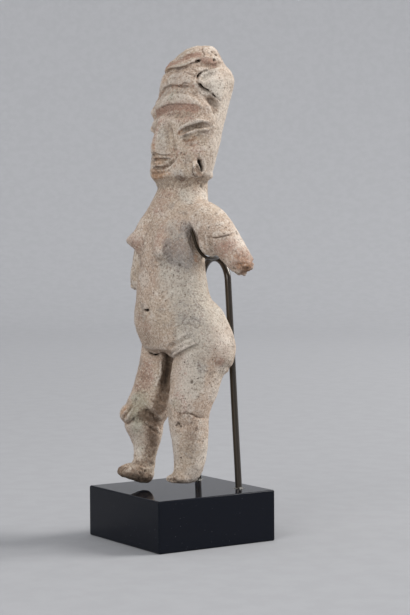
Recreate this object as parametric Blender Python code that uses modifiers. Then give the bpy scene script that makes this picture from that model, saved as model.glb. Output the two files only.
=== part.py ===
"""A fired clay figurine of a standing woman, held upright on a small black plinth by a bent brass rod and wire.

The figurine is solid, hand-modelled clay. It faces -Y, its left arm points to +X, and Z is up. The origin is
the centre of the plinth's underside. Sizes are in metres. The figurine's own form is written in units of which
its height holds 130, so its pose and proportions stay when its height changes.
"""

import math

import bmesh
import bpy
import numpy as np
from mathutils import Matrix, Vector, noise
from mathutils.bvhtree import BVHTree

# Plinth: a square block with slightly rounded edges
PLINTH_SIDE = 0.040
PLINTH_HEIGHT = 0.015
PLINTH_EDGE_RADIUS = 0.0005
PLINTH_EDGE_STEPS = 3
PLINTH_UNDER_HOLES = 0.0067
HOLE_SIDES = 24

# The air that touching pieces keep
CLEARANCE = 0.0003

# Figurine: from its lower sole to the top of its headdress. Its wide back and its armpits, which the rod
# clears and reaches up to, are given in its own units.
FIGURE_HEIGHT = 0.1300
FIGURE_ABOVE_PLINTH = 0.0010
FIGURE_UNITS = 130.0
UNIT = FIGURE_HEIGHT / FIGURE_UNITS
BACK_BEHIND = 11.1
ARMPITS_UP = 68.0

# Rod: one brass rod bent into an upside-down U behind the figure, its two feet glued into the plinth
ROD_DIAMETER = 0.0020
ROD_FEET_APART = 0.0222
ROD_CROWN_RADIUS = 0.0070
ROD_LEAN = 0.0008
ROD_CROWN_BEHIND = BACK_BEHIND * UNIT + CLEARANCE + ROD_DIAMETER / 2
ROD_FEET_BEHIND = ROD_CROWN_BEHIND + ROD_LEAN
ROD_CROWN_HEIGHT = PLINTH_HEIGHT + FIGURE_ABOVE_PLINTH + ARMPITS_UP * UNIT
ROD_IN_PLINTH = PLINTH_HEIGHT - PLINTH_UNDER_HOLES - CLEARANCE
ROD_BEND_STEPS = 25
ROD_ROUNDNESS = 3

# Wire: one thin brass wire across the rod's crown, with an end hooked forwards and up under each arm
WIRE_DIAMETER = 0.0009
WIRE_ROUNDNESS = 2
WIRE_STEPS = 5
WIRE_NUDGES = 6
WIRE_NUDGE_SPARE = 0.00001

# One arm's hook, in figure units, from near the crown to its end in front of the armpit
HOOK = (
    (6.0, 9.6, 67.2),
    (10.6, 6.0, 67.2),
    (12.9, 1.9, 67.4),
    (13.4, -0.6, 68.4),
    (12.9, -2.6, 71.4),
    (12.3, -3.3, 75.4),
)

# Clay: how fine its modelled skin is in figure units, and how many triangles it keeps
SKIN_VOXEL = 0.50
SKIN_SMOOTHING = 6
FIGURE_TRIANGLES = 8000
HAND_LUMPS = 0.22
HAND_LUMP_SIZE = 7.0

CLAY_COLOUR = (0.56, 0.45, 0.35, 1.0)
BRASS_COLOUR = (0.20, 0.15, 0.08, 1.0)
PLINTH_COLOUR = (0.012, 0.012, 0.014, 1.0)

# The figurine's masses. A row is a section: its centre (x, y, z), its half width, its half depth, and its
# squareness, where 2 makes an ellipse and more a fuller one.
TRUNK = (
    (0, 0.2, 37.6, 9.0, 5.6, 2.0),
    (0, 0.8, 41.0, 14.8, 9.4, 2.1),
    (0, 0.0, 47.0, 15.4, 10.6, 2.1),
    (0, -2.3, 54.5, 13.5, 10.4, 2.0),
    (0, -2.7, 61.5, 12.2, 9.2, 2.0),
    (0, -2.8, 67.0, 12.0, 8.8, 2.0),
    (0, -2.4, 73.0, 12.3, 8.2, 2.0),
    (0, -1.4, 79.0, 13.0, 7.4, 2.0),
    (0, 0.4, 84.0, 10.6, 7.2, 2.0),
    (0, 1.4, 88.0, 8.2, 7.2, 2.0),
    (0, 1.6, 92.0, 7.8, 6.8, 2.0),
)
HEAD = (
    (0, 0.6, 90.2, 8.0, 6.2, 2.2),
    (0, 0.5, 91.6, 10.2, 7.3, 2.4),
    (0, 0.8, 94.0, 11.0, 7.6, 2.4),
    (0, 2.0, 99.5, 11.9, 7.9, 2.4),
    (0, 3.1, 106.0, 12.2, 8.6, 2.3),
    (0, 4.7, 113.0, 12.1, 9.5, 2.3),
    (0, 6.6, 119.5, 11.7, 10.0, 2.2),
    (0, 7.4, 123.2, 10.5, 9.1, 2.1),
    (0, 7.9, 126.4, 8.8, 7.2, 2.0),
    (0, 9.2, 128.9, 6.2, 4.8, 2.0),
    (0, 9.8, 130.4, 3.0, 2.2, 2.0),
)
BUTTOCK = (
    (7.6, -0.6, 54.0, 5.0, 6.0, 2.0),
    (9.2, 1.2, 49.0, 7.6, 7.6, 2.0),
    (10.2, 2.5, 44.0, 9.0, 7.8, 2.1),
    (10.4, 3.1, 40.2, 9.0, 7.3, 2.2),
    (10.2, 3.4, 37.2, 7.8, 6.2, 2.2),
    (9.8, 3.0, 35.4, 5.6, 4.2, 2.0),
)
LEFT_LEG = (
    (8.2, -0.4, 50.0, 5.4, 6.6, 2.0),
    (9.8, -0.2, 43.6, 8.4, 8.0, 2.1),
    (9.9, 0.1, 38.0, 8.2, 7.5, 2.1),
    (9.8, -1.2, 31.0, 7.6, 7.0, 2.1),
    (9.7, -2.8, 26.0, 6.8, 6.4, 2.0),
    (9.6, -3.3, 21.0, 6.3, 5.8, 2.0),
    (9.3, -2.8, 14.5, 5.5, 5.2, 2.0),
    (9.0, -2.3, 9.3, 4.9, 4.6, 2.0),
    (8.5, -3.1, 5.4, 4.3, 4.1, 2.0),
    (8.0, -3.2, 3.4, 3.7, 3.5, 2.0),
    (7.8, -3.2, 2.3, 3.0, 2.8, 2.0),
)
RIGHT_LEG = (
    (-8.2, -0.4, 50.0, 5.4, 6.6, 2.0),
    (-9.2, 0.8, 43.6, 7.8, 7.4, 2.1),
    (-9.6, 0.5, 38.0, 7.9, 7.1, 2.1),
    (-9.8, -0.8, 31.5, 7.8, 7.2, 2.1),
    (-9.7, -3.4, 26.0, 7.1, 6.8, 2.0),
    (-9.7, -6.9, 20.6, 6.6, 6.3, 2.0),
    (-9.3, -6.5, 16.0, 5.4, 5.2, 2.0),
    (-8.7, -6.7, 12.0, 4.2, 4.0, 2.0),
    (-8.3, -7.5, 8.4, 3.6, 3.3, 2.0),
    (-8.1, -8.0, 4.4, 3.4, 3.0, 2.0),
    (-8.0, -7.6, 1.2, 2.6, 2.2, 2.0),
)
RIGHT_KNEE = ((-9.9, -11.4, 21.4), (4.4, 3.2, 3.6))
RIGHT_FOOT = (
    (-8.0, -5.9, 2.4, 2.4, 1.9, 2.0),
    (-8.0, -8.0, 3.0, 3.7, 2.7, 2.1),
    (-8.0, -11.4, 4.2, 4.1, 2.7, 2.2),
    (-8.0, -14.8, 4.5, 3.7, 1.9, 2.2),
    (-8.0, -16.8, 4.6, 2.2, 0.9, 2.0),
)
LEFT_FOOT = (
    (7.9, -0.8, 3.3, 2.6, 1.1, 2.0),
    (7.9, -3.0, 3.3, 4.0, 1.6, 2.1),
    (7.9, -6.2, 3.4, 4.4, 1.5, 2.2),
    (7.9, -8.9, 3.4, 3.3, 1.1, 2.0),
)
LEFT_ARM = (
    (5.0, 0.4, 80.4, 4.6, 5.0, 2.0),
    (11.2, 1.6, 78.9, 6.6, 5.7, 2.0),
    (17.0, 3.0, 75.0, 5.2, 4.9, 2.0),
    (22.0, 4.3, 69.9, 4.3, 4.1, 2.0),
    (25.6, 5.0, 66.1, 3.7, 3.4, 2.2),
    (27.0, 5.3, 64.6, 2.8, 2.5, 2.2),
)
RIGHT_ARM = (
    (-5.0, 0.4, 80.4, 4.6, 5.0, 2.0),
    (-11.2, 1.2, 79.4, 5.8, 5.6, 2.0),
    (-16.2, 0.6, 73.2, 5.0, 5.0, 2.0),
    (-19.4, 0.0, 65.6, 4.2, 4.2, 2.0),
    (-21.0, -0.6, 60.2, 3.7, 3.6, 2.2),
    (-21.6, -0.8, 58.0, 2.6, 2.6, 2.2),
)
BREAST = (
    (5.4, -2.0, 81.6, 4.0, 3.0, 2.0),
    (5.2, -5.0, 77.2, 4.4, 4.0, 2.0),
    (5.3, -7.8, 73.4, 4.3, 4.0, 2.0),
    (6.9, -9.9, 71.4, 3.2, 2.9, 2.0),
    (8.3, -11.4, 70.9, 1.8, 1.7, 2.0),
    (9.1, -12.3, 70.9, 0.8, 0.8, 2.0),
)
NOSE = (
    (0, -4.2, 110.0, 0.9, 1.4, 1.8),
    (0, -4.8, 106.6, 2.2, 2.6, 1.7),
    (0, -5.4, 103.0, 3.4, 3.2, 1.7),
    (0, -5.8, 100.0, 4.6, 3.4, 1.7),
    (0, -5.6, 98.0, 4.8, 2.8, 1.7),
)
LIPS = ((0, -6.6, 95.0), (5.0, 2.2, 1.9))
CHIN = ((0, -5.6, 92.6), (5.6, 3.2, 1.9))
LEFT_BREAST_LIFT = -1.0
RIGHT_BREAST_LIFT = 2.0
UNDER_BREAST = ((5.8, -7.2, 70.0), (4.2, 4.2, 4.8))
ARM_ROOT = ((13.8, 1.6, 71.9), (3.6, 4.4, 3.6))
EAR = ((11.3, -0.9, 93.5), (1.3, 2.3, 2.7))

# What the maker pressed and cut into the clay, and where it has cracked since. A stroke has a name, a width,
# a depth, and the points that it passes near; a depth below zero raises the clay instead.
STROKES = (
    ("cap lip", 2.2, -0.7, ((-7.6, 1.4, 123.8), (-0.2, -1.6, 124.6), (5.2, 0.2, 125.2), (7.8, 3.4, 126.4))),
    ("cap crack", 1.3, 1.1, ((-7.2, 1.0, 121.6), (-0.2, -2.1, 122.6), (4.8, -0.8, 123.2), (7.3, 2.7, 124.8),
                             (9.0, 5.2, 124.3), (7.2, 10.8, 123.6))),
    ("upper roll", 4.6, -0.5, ((-10.6, 4.0, 119.6), (-4.0, -2.6, 120.0), (3.0, -2.8, 120.2),
                               (8.4, 0.0, 120.0))),
    ("upper band", 1.7, 1.0, ((-11.8, 5.2, 111.0), (-9.4, -0.4, 114.6), (-4.3, -3.6, 116.1), (0.4, -3.9, 117.2),
                              (5.6, -3.0, 117.3), (8.8, -1.3, 116.8), (11.3, 1.6, 114.1), (12.1, 5.1, 109.9))),
    ("lower roll", 4.4, -0.6, ((-10.6, 0.4, 112.0), (-5.0, -4.4, 113.4), (1.0, -5.0, 113.8), (7.0, -3.6, 113.4),
                               (10.8, 0.0, 111.6))),
    ("brow band", 1.8, 0.9, ((-11.4, 1.4, 109.4), (-7.0, -3.6, 110.1), (0.3, -5.0, 110.4), (7.4, -3.6, 110.2),
                             (11.4, 0.4, 110.0))),
    ("brow", 1.9, -0.9, ((-9.4, -2.8, 107.6), (-4.6, -5.0, 108.2), (0.0, -5.4, 108.3), (5.0, -5.0, 108.0))),
    ("upper split", 1.3, 1.7, ((10.1, 7.4, 122.9), (10.4, 3.8, 121.7), (9.6, 0.8, 119.9))),
    ("lower split", 1.4, 1.9, ((9.8, 0.4, 118.0), (11.1, 2.0, 116.2), (11.7, 4.2, 114.3), (11.8, 6.4, 112.4))),
    ("nose side", 1.3, 0.5, ((2.6, -5.4, 105.6), (4.8, -5.2, 101.2), (5.6, -5.0, 98.6), (4.9, -5.8, 97.0))),
    ("under the nose", 1.2, 0.7, ((-4.4, -6.4, 96.9), (0.0, -8.6, 97.0), (4.4, -6.4, 96.9))),
    ("lips", 1.0, 0.8, ((-4.8, -6.2, 95.7), (-2.4, -8.0, 94.9), (0.0, -8.6, 94.8), (2.4, -8.0, 94.9),
                        (4.8, -6.2, 95.7))),
    ("under the lips", 1.3, 0.8, ((-5.2, -5.8, 95.0), (-3.0, -7.8, 93.2), (0.0, -8.4, 92.9), (3.0, -7.8, 93.2),
                                  (5.2, -5.8, 95.0))),
    ("navel", 1.1, 1.3, ((1.2, -12.4, 52.5), (1.9, -12.3, 52.3))),
    ("right groin", 1.3, 1.0, ((-13.6, -4.0, 41.8), (-8.8, -6.1, 39.6), (-5.4, -5.4, 38.6),
                               (-1.4, -5.4, 38.4))),
    ("left groin", 1.5, 1.0, ((17.1, -2.7, 43.2), (13.3, -5.0, 42.0), (10.0, -6.4, 40.4), (4.9, -5.6, 39.1),
                              (1.4, -5.4, 38.4))),
    ("left knee", 0.9, 0.5, ((11.0, -9.0, 22.6), (14.0, -7.7, 23.7), (15.8, -5.1, 23.1), (15.1, -0.5, 21.1))),
    ("right knee", 1.2, 0.8, ((-13.8, -12.4, 18.6), (-10.0, -14.4, 18.2), (-6.4, -12.6, 19.4), (-3.6, -8.8, 20.0),
                              (-4.6, -4.0, 17.4))),
    ("over the right knee", 1.4, 0.6, ((-13.0, -11.0, 24.6), (-9.6, -12.6, 25.0), (-6.0, -10.6, 24.2))),
)
# Strokes that both sides have
PAIRED_STROKES = (
    ("eye", 1.5, 1.3, ((6.8, -4.7, 102.9), (8.9, -3.2, 104.3), (11.1, -0.6, 105.6), (12.2, 2.8, 105.5))),
    ("upper lid", 1.4, -0.5, ((6.9, -4.6, 104.6), (8.9, -3.2, 106.2), (11.2, -0.4, 107.6), (12.2, 3.2, 107.0))),
    ("lower lid", 1.9, 1.0, ((7.8, -4.2, 101.6), (9.9, -2.6, 101.2), (11.5, -0.5, 101.9), (12.1, 1.6, 103.2))),
    ("ear hole", 1.1, 1.8, ((12.5, -0.8, 94.8), (12.6, 0.0, 93.2))),
    ("under the breast", 2.0, 0.5, ((2.0, -11.6, 66.0), (5.6, -11.2, 65.8), (8.8, -9.4, 66.2))),
    ("armpit", 1.5, 1.7, ((11.8, -3.8, 77.4), (12.2, -3.4, 74.0), (12.8, -2.0, 70.4), (13.2, 0.4, 68.2))),
)
# Broken and worn places: a centre, a reach and how rough the clay is there
WORN = (
    ((27.4, 5.4, 64.2), 5.0, 0.9),
    ((-21.6, -0.9, 58.0), 4.4, 0.9),
    ((7.9, -9.4, 3.0), 4.0, 0.5),
    ((0.0, 8.0, 128.0), 9.0, 0.8),
    ((-8.0, -16.4, 4.6), 4.0, 0.4),
    ((-9.9, -12.0, 21.4), 5.0, 0.4),
)
WORN_GRAIN = 1.7
WORN_AWAY = 0.3
STROKE_STEPS = 8
STROKE_FADE = 0.22
STROKE_END = 0.35

SECTION_POINTS = 32
SECTION_STEPS = 4
BALL_SEGMENTS = 24
BALL_RINGS = 16


def clear_scene():
    for obj in list(bpy.data.objects):
        bpy.data.objects.remove(obj)


def collection(name):
    made = bpy.data.collections.new(name)
    bpy.context.scene.collection.children.link(made)
    return made


def material(name, colour, roughness, metallic):
    made = bpy.data.materials.new(name)
    made.use_nodes = True
    shader = made.node_tree.nodes["Principled BSDF"]
    shader.inputs["Base Color"].default_value = colour
    shader.inputs["Roughness"].default_value = roughness
    shader.inputs["Metallic"].default_value = metallic
    made.diffuse_color = colour
    return made


def add_object(name, mesh, into, finish=None):
    obj = bpy.data.objects.new(name, mesh)
    into.objects.link(obj)
    if finish:
        obj.data.materials.append(finish)
    return obj


def add_cutter(name, mesh, into):
    cutter = add_object(name, mesh, into)
    cutter.hide_render = True
    cutter.display_type = "WIRE"
    return cutter


def evaluated_mesh(obj):
    """A new mesh with the object's modifiers, or a curve's bevel, applied."""
    graph = bpy.context.evaluated_depsgraph_get()
    return bpy.data.meshes.new_from_object(obj.evaluated_get(graph))


def through(points, steps):
    """A smooth curve through rows of numbers, with this many steps between neighbours."""
    rows = np.array(points, float)
    padded = np.vstack([2 * rows[0] - rows[1], rows, 2 * rows[-1] - rows[-2]])
    made = []
    for before, start, end, after in zip(padded, padded[1:], padded[2:], padded[3:]):
        for t in np.arange(steps) / steps:
            made.append(0.5 * (2 * start + (end - before) * t
                               + (2 * before - 5 * start + 4 * end - after) * t ** 2
                               + (3 * start - before - 3 * end + after) * t ** 3))
    made.append(rows[-1])
    return np.array(made)


def add_mass(bm, rows, side, mirrored=False, lift=0.0):
    """Adds a closed tube of rounded sections along the rows' centres. Side is the way a half width points."""
    rows = through(rows, SECTION_STEPS)
    rows[:, 2] += lift
    if mirrored:
        rows[:, 0] *= -1
    centres = rows[:, :3]
    rings = []
    for centre, way, (half_width, half_depth, squareness) in zip(
            centres, np.gradient(centres, axis=0), rows[:, 3:]):
        way = Vector(way).normalized()
        across = Vector(side) - way * way.dot(Vector(side))
        across.normalize()
        deep = way.cross(across)
        ring = []
        for k in range(SECTION_POINTS):
            c = math.cos(2 * math.pi * k / SECTION_POINTS)
            s = math.sin(2 * math.pi * k / SECTION_POINTS)
            out = (abs(c) ** squareness + abs(s) ** squareness) ** (-1 / squareness)
            offset = across * (half_width * out * c) + deep * (half_depth * out * s)
            ring.append(bm.verts.new(Vector(centre) + offset))
        rings.append(ring)
    for lower, upper in zip(rings, rings[1:]):
        for k in range(SECTION_POINTS):
            after = (k + 1) % SECTION_POINTS
            bm.faces.new((lower[k], lower[after], upper[after], upper[k]))
    bm.faces.new(reversed(rings[0]))
    bm.faces.new(rings[-1])


def add_ball(bm, centre, radii, mirrored=False, lift=0.0):
    made = bmesh.ops.create_uvsphere(bm, u_segments=BALL_SEGMENTS, v_segments=BALL_RINGS,
                                    radius=1.0)["verts"]
    bmesh.ops.scale(bm, vec=radii, verts=made)
    way = -1 if mirrored else 1
    bmesh.ops.translate(bm, vec=(way * centre[0], centre[1], centre[2] + lift), verts=made)


def pressed_masses(into):
    """The clay's masses pressed together into one skin, in figure units."""
    bm = bmesh.new()
    for rows in (TRUNK, HEAD, LEFT_LEG, RIGHT_LEG, NOSE, LEFT_FOOT, RIGHT_FOOT):
        add_mass(bm, rows, (1, 0, 0))
    for rows in (LEFT_ARM, RIGHT_ARM):
        add_mass(bm, rows, (0, 1, 0))
    for mirrored, breast_lift in ((False, LEFT_BREAST_LIFT), (True, RIGHT_BREAST_LIFT)):
        add_mass(bm, BUTTOCK, (1, 0, 0), mirrored)
        add_mass(bm, BREAST, (1, 0, 0), mirrored, breast_lift)
        add_ball(bm, *UNDER_BREAST, mirrored, breast_lift)
        for ball in (ARM_ROOT, EAR):
            add_ball(bm, *ball, mirrored)
    for ball in (LIPS, CHIN, RIGHT_KNEE):
        add_ball(bm, *ball)
    bmesh.ops.recalc_face_normals(bm, faces=bm.faces)
    mesh = bpy.data.meshes.new("masses")
    bm.to_mesh(mesh)
    bm.free()
    masses = add_cutter("masses", mesh, into)
    skin = masses.modifiers.new("skin", "REMESH")
    skin.mode = "VOXEL"
    skin.voxel_size = SKIN_VOXEL
    soft = masses.modifiers.new("soft", "SMOOTH")
    soft.factor = 0.5
    soft.iterations = SKIN_SMOOTHING
    pressed = evaluated_mesh(masses)
    bpy.data.objects.remove(masses)
    return pressed


class Clay:
    """The modelled skin as arrays of points and normals, which the maker's tools push about."""

    def __init__(self, mesh):
        self.mesh = mesh
        count = len(mesh.vertices)
        self.points = np.empty(count * 3)
        mesh.vertices.foreach_get("co", self.points)
        self.points = self.points.reshape(count, 3)
        self.read_skin()

    def read_skin(self):
        self.mesh.vertices.foreach_set("co", self.points.ravel())
        self.mesh.update()
        self.normals = np.empty(len(self.points) * 3)
        self.mesh.vertex_normals.foreach_get("vector", self.normals)
        self.normals = self.normals.reshape(-1, 3)
        faces = [tuple(face.vertices) for face in self.mesh.polygons]
        self.tree = BVHTree.FromPolygons([Vector(p) for p in self.points], faces)

    def lump(self, amount, size):
        """The soft unevenness that fingers leave."""
        for n, point in enumerate(self.points):
            self.points[n] += self.normals[n] * amount * noise.noise(Vector(point) / size)
        self.read_skin()

    def press(self, width, depth, points):
        """Presses a groove along points that are first moved onto the skin. It fades out at both ends."""
        path = np.array([self.tree.find_nearest(Vector(p))[0] for p in through(points, STROKE_STEPS)])
        share = np.linspace(0, 1, len(path))
        strength = np.clip(np.minimum(share, 1 - share) / STROKE_FADE, STROKE_END, 1)
        apart = np.linalg.norm(self.points[:, None, :] - path[None, :, :], axis=2) / width
        push = depth * (np.clip(1 - apart ** 2, 0, None) * strength).max(axis=1)
        self.points -= self.normals * push[:, None]
        self.read_skin()

    def wear(self, centre, reach, amount):
        """Roughens the clay around a point."""
        away = np.linalg.norm(self.points - np.array(centre), axis=1) / reach
        for n in np.flatnonzero(away < 1):
            rough = noise.noise(Vector(self.points[n]) / WORN_GRAIN) - WORN_AWAY
            self.points[n] += self.normals[n] * amount * rough * (1 - away[n] ** 2)
        self.read_skin()

    def height(self):
        return self.points[:, 2].max() - self.points[:, 2].min()


def figurine(into, tools, finish):
    clay = Clay(pressed_masses(tools))
    clay.lump(HAND_LUMPS, HAND_LUMP_SIZE)
    for _name, width, depth, points in STROKES:
        clay.press(width, depth, points)
    for _name, width, depth, points in PAIRED_STROKES:
        clay.press(width, depth, points)
        clay.press(width, depth, [(-x, y, z) for x, y, z in points])
    for centre, reach, amount in WORN:
        clay.wear(centre, reach, amount)
    lowest = clay.points[:, 2].min()
    scale = FIGURE_HEIGHT / clay.height()
    mesh = clay.mesh
    mesh.transform(Matrix.Translation((0, 0, PLINTH_HEIGHT + FIGURE_ABOVE_PLINTH))
                   @ Matrix.Scale(scale, 4) @ Matrix.Translation((0, 0, -lowest)))
    mesh.shade_smooth()
    obj = add_object("figurine", mesh, into, finish)
    thin = obj.modifiers.new("fewer faces", "DECIMATE")
    mesh.calc_loop_triangles()
    thin.ratio = FIGURE_TRIANGLES / len(mesh.loop_triangles)
    return obj


def rod_line():
    """The rod's centreline: where one foot enters, and its middle path over the crown, from foot to foot."""
    rod_radius = ROD_DIAMETER / 2
    bend_height = ROD_CROWN_HEIGHT - rod_radius - ROD_CROWN_RADIUS
    rise = bend_height - PLINTH_HEIGHT
    half_apart = ROD_FEET_APART / 2
    lean = math.acos(ROD_CROWN_RADIUS / math.hypot(half_apart, rise)) - math.atan2(rise, half_apart)
    foot_end = PLINTH_HEIGHT - ROD_IN_PLINTH
    crown = ROD_CROWN_HEIGHT - rod_radius

    def behind(z):
        return ROD_FEET_BEHIND - ROD_LEAN * (z - PLINTH_HEIGHT) / (crown - PLINTH_HEIGHT)

    foot = Vector((half_apart + math.tan(lean) * (PLINTH_HEIGHT - foot_end), behind(foot_end), foot_end))
    points = [foot]
    for turn in np.linspace(lean, math.pi - lean, ROD_BEND_STEPS):
        z = bend_height + ROD_CROWN_RADIUS * math.sin(turn)
        points.append(Vector((ROD_CROWN_RADIUS * math.cos(turn), behind(z), z)))
    points.append(Vector((-foot.x, foot.y, foot.z)))
    return points


def tube(name, points, diameter, into, finish, resolution):
    curve = bpy.data.curves.new(name, "CURVE")
    curve.dimensions = "3D"
    curve.bevel_depth = diameter / 2
    curve.bevel_resolution = resolution
    curve.use_fill_caps = True
    line = curve.splines.new("POLY")
    line.points.add(len(points) - 1)
    for place, point in zip(line.points, points):
        place.co = (*point, 1)
    return add_object(name, curve, into, finish)


def plinth(into, tools, finish):
    """The block, with a blind hole for each foot of the rod, drilled along the foot."""
    bm = bmesh.new()
    bmesh.ops.create_cube(bm, size=1)
    bmesh.ops.scale(bm, vec=(PLINTH_SIDE, PLINTH_SIDE, PLINTH_HEIGHT), verts=bm.verts)
    bmesh.ops.translate(bm, vec=(0, 0, PLINTH_HEIGHT / 2), verts=bm.verts)
    mesh = bpy.data.meshes.new("plinth")
    bm.to_mesh(mesh)
    bm.free()
    block = add_object("plinth", mesh, into, finish)
    edge = block.modifiers.new("rounded edges", "BEVEL")
    edge.width = PLINTH_EDGE_RADIUS
    edge.segments = PLINTH_EDGE_STEPS
    line = rod_line()
    for name, foot, above in (("left foot hole", line[0], line[1]), ("right foot hole", line[-1], line[-2])):
        way = (above - foot).normalized()
        length = 2 * ROD_IN_PLINTH
        bm = bmesh.new()
        bmesh.ops.create_cone(bm, cap_ends=True, segments=HOLE_SIDES, radius1=ROD_DIAMETER / 2 + CLEARANCE,
                              radius2=ROD_DIAMETER / 2 + CLEARANCE, depth=length)
        turned = way.to_track_quat("Z", "Y").to_matrix().to_4x4()
        place = Matrix.Translation(foot + way * (length / 2 - CLEARANCE)) @ turned
        bmesh.ops.transform(bm, matrix=place, verts=bm.verts)
        cutter_mesh = bpy.data.meshes.new(name)
        bm.to_mesh(cutter_mesh)
        bm.free()
        cut = block.modifiers.new(name, "BOOLEAN")
        cut.object = add_cutter(name, cutter_mesh, tools)
        cut.operation = "DIFFERENCE"
        cut.solver = "EXACT"


def wire_line(figure):
    """The wire's middle path: from one armpit round the front of the crown to the other, clear of the clay."""
    graph = bpy.context.evaluated_depsgraph_get()
    skin = BVHTree.FromObject(figure, graph)
    base = PLINTH_HEIGHT + FIGURE_ABOVE_PLINTH
    crown = rod_line()[1 + ROD_BEND_STEPS // 2]
    at_crown = crown + Vector((0, -(ROD_DIAMETER + WIRE_DIAMETER) / 2 - CLEARANCE, 0))
    half = [Vector((x, y, z)) * UNIT + Vector((0, 0, base)) for x, y, z in HOOK]
    points = [Vector((-p.x, p.y, p.z)) for p in reversed(half)] + [at_crown] + half
    room = WIRE_DIAMETER / 2 + CLEARANCE
    path = []
    for x, y, z in through(points, WIRE_STEPS):
        point = Vector((x, y, z))
        for _ in range(WIRE_NUDGES):
            nearest, normal, _face, apart = skin.find_nearest(point)
            inside = (point - nearest).dot(normal) < 0
            if apart >= room and not inside:
                break
            point = nearest + normal * (room + WIRE_NUDGE_SPARE)
        path.append(point)
    return path


def main():
    clear_scene()
    parts = collection("clay figurine on plinth")
    tools = collection("cutters")
    clay = material("fired clay", CLAY_COLOUR, 0.9, 0.0)
    brass = material("dark brass", BRASS_COLOUR, 0.4, 1.0)
    black = material("polished black", PLINTH_COLOUR, 0.06, 0.0)
    figure = figurine(parts, tools, clay)
    plinth(parts, tools, black)
    tube("support_rod", rod_line(), ROD_DIAMETER, parts, brass, ROD_ROUNDNESS)
    tube("cradle_wire", wire_line(figure), WIRE_DIAMETER, parts, brass, WIRE_ROUNDNESS)


main()
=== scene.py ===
# %% [markdown]
# A fired clay figurine on its stand
#
# The real thing is a figure of a standing woman, modelled by hand in coarse clay, fired, and worn by long
# burial. It is about 130 mm high. A bent brass rod and a thin brass wire hold it just above a small block
# of polished black acrylic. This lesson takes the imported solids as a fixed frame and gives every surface
# its fine form and its finish.

# %% Load the frame
import math
import random
from typing import NamedTuple

import bmesh
import bpy
import numpy as np
from mathutils import Matrix, Vector, noise
from mathutils.bvhtree import BVHTree
from mathutils.kdtree import KDTree


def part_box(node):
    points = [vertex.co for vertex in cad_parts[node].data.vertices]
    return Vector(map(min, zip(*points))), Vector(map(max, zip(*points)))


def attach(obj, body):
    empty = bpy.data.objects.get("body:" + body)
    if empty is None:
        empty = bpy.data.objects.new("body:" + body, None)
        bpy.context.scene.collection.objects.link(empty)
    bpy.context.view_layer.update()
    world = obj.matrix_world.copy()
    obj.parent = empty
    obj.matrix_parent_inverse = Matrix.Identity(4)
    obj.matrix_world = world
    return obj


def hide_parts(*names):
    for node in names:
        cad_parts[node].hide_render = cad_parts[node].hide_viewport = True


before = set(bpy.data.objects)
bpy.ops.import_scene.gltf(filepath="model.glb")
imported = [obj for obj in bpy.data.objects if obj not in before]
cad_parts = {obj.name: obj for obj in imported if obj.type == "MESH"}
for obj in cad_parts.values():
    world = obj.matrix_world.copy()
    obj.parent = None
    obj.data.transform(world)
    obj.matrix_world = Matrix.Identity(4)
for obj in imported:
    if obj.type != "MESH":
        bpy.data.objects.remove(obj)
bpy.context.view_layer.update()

MM = 0.001
figure_low, figure_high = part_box("figurine")
plinth_low, plinth_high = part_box("plinth")
rod_low, rod_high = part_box("support_rod")
print("figure from", figure_low, "to", figure_high)


# %% [markdown]
# The camera
#
# A long lens, level with the figure's chest, shows it from its front left. The direction, distance and
# small roll were found by matching the plinth's corners, whose real size is known. The lens's long side is
# the picture's height, so the sensor is fitted vertically.

# %% Place the camera
CAMERA_AIM = Vector((4.1, 6.2, 68.5)) * MM
CAMERA_DISTANCE = 505.5 * MM
CAMERA_AZIMUTH = math.radians(56.87)
CAMERA_ELEVATION = math.radians(2.28)
CAMERA_ROLL = math.radians(-0.315)
CAMERA_LENS = 100.0
CAMERA_LONG_SIDE = 36.0
CAMERA_NEAREST = 0.01


def bearing(azimuth, elevation):
    """A direction from the figure. Azimuth 0 is its front, and a positive one turns to its left."""
    level = math.cos(elevation)
    return Vector((math.sin(azimuth) * level, -math.cos(azimuth) * level, math.sin(elevation)))


def aimed(at, way):
    """The matrix that puts a thing at a point, with its own Z axis along a direction."""
    return Matrix.Translation(at) @ way.to_track_quat("Z", "Y").to_matrix().to_4x4()


def add_camera():
    data = bpy.data.cameras.new("camera")
    data.sensor_fit = "VERTICAL"
    data.sensor_height = CAMERA_LONG_SIDE
    data.lens = CAMERA_LENS
    data.clip_start = CAMERA_NEAREST
    camera = bpy.data.objects.new("camera", data)
    bpy.context.scene.collection.objects.link(camera)
    back = bearing(CAMERA_AZIMUTH, CAMERA_ELEVATION)
    roll = Matrix.Rotation(CAMERA_ROLL, 4, "Z")
    camera.matrix_world = aimed(CAMERA_AIM + back * CAMERA_DISTANCE, back) @ roll
    bpy.context.scene.camera = camera
    return camera


print("camera at", add_camera().matrix_world.translation)


# %% [markdown]
# The maker's bench
#
# A few small helpers serve the pieces. They put data into the scene as an object, turn a bmesh into a mesh,
# apply an object's modifiers, round edges, spin a profile, and draw a smooth curve through a few listed
# points.

# %% Helpers for making pieces
def place(name, data, finish=None):
    """A new object at the origin. A mesh keeps its place in its own points."""
    obj = bpy.data.objects.new(name, data)
    bpy.context.scene.collection.objects.link(obj)
    if finish:
        data.materials.append(finish)
    return obj


def mesh_from(bm, name):
    mesh = bpy.data.meshes.new(name)
    bm.to_mesh(mesh)
    bm.free()
    return mesh


def applied(obj):
    """A new mesh with the object's modifiers, or a curve's bevel, applied. The object is removed."""
    graph = bpy.context.evaluated_depsgraph_get()
    mesh = bpy.data.meshes.new_from_object(obj.evaluated_get(graph))
    bpy.data.objects.remove(obj)
    return mesh


def round_edges(bm, edges, width, steps):
    bmesh.ops.bevel(bm, geom=edges, offset=width, offset_type="OFFSET", segments=steps, profile=0.5,
                    affect="EDGES", material=-1, clamp_overlap=True)


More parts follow.
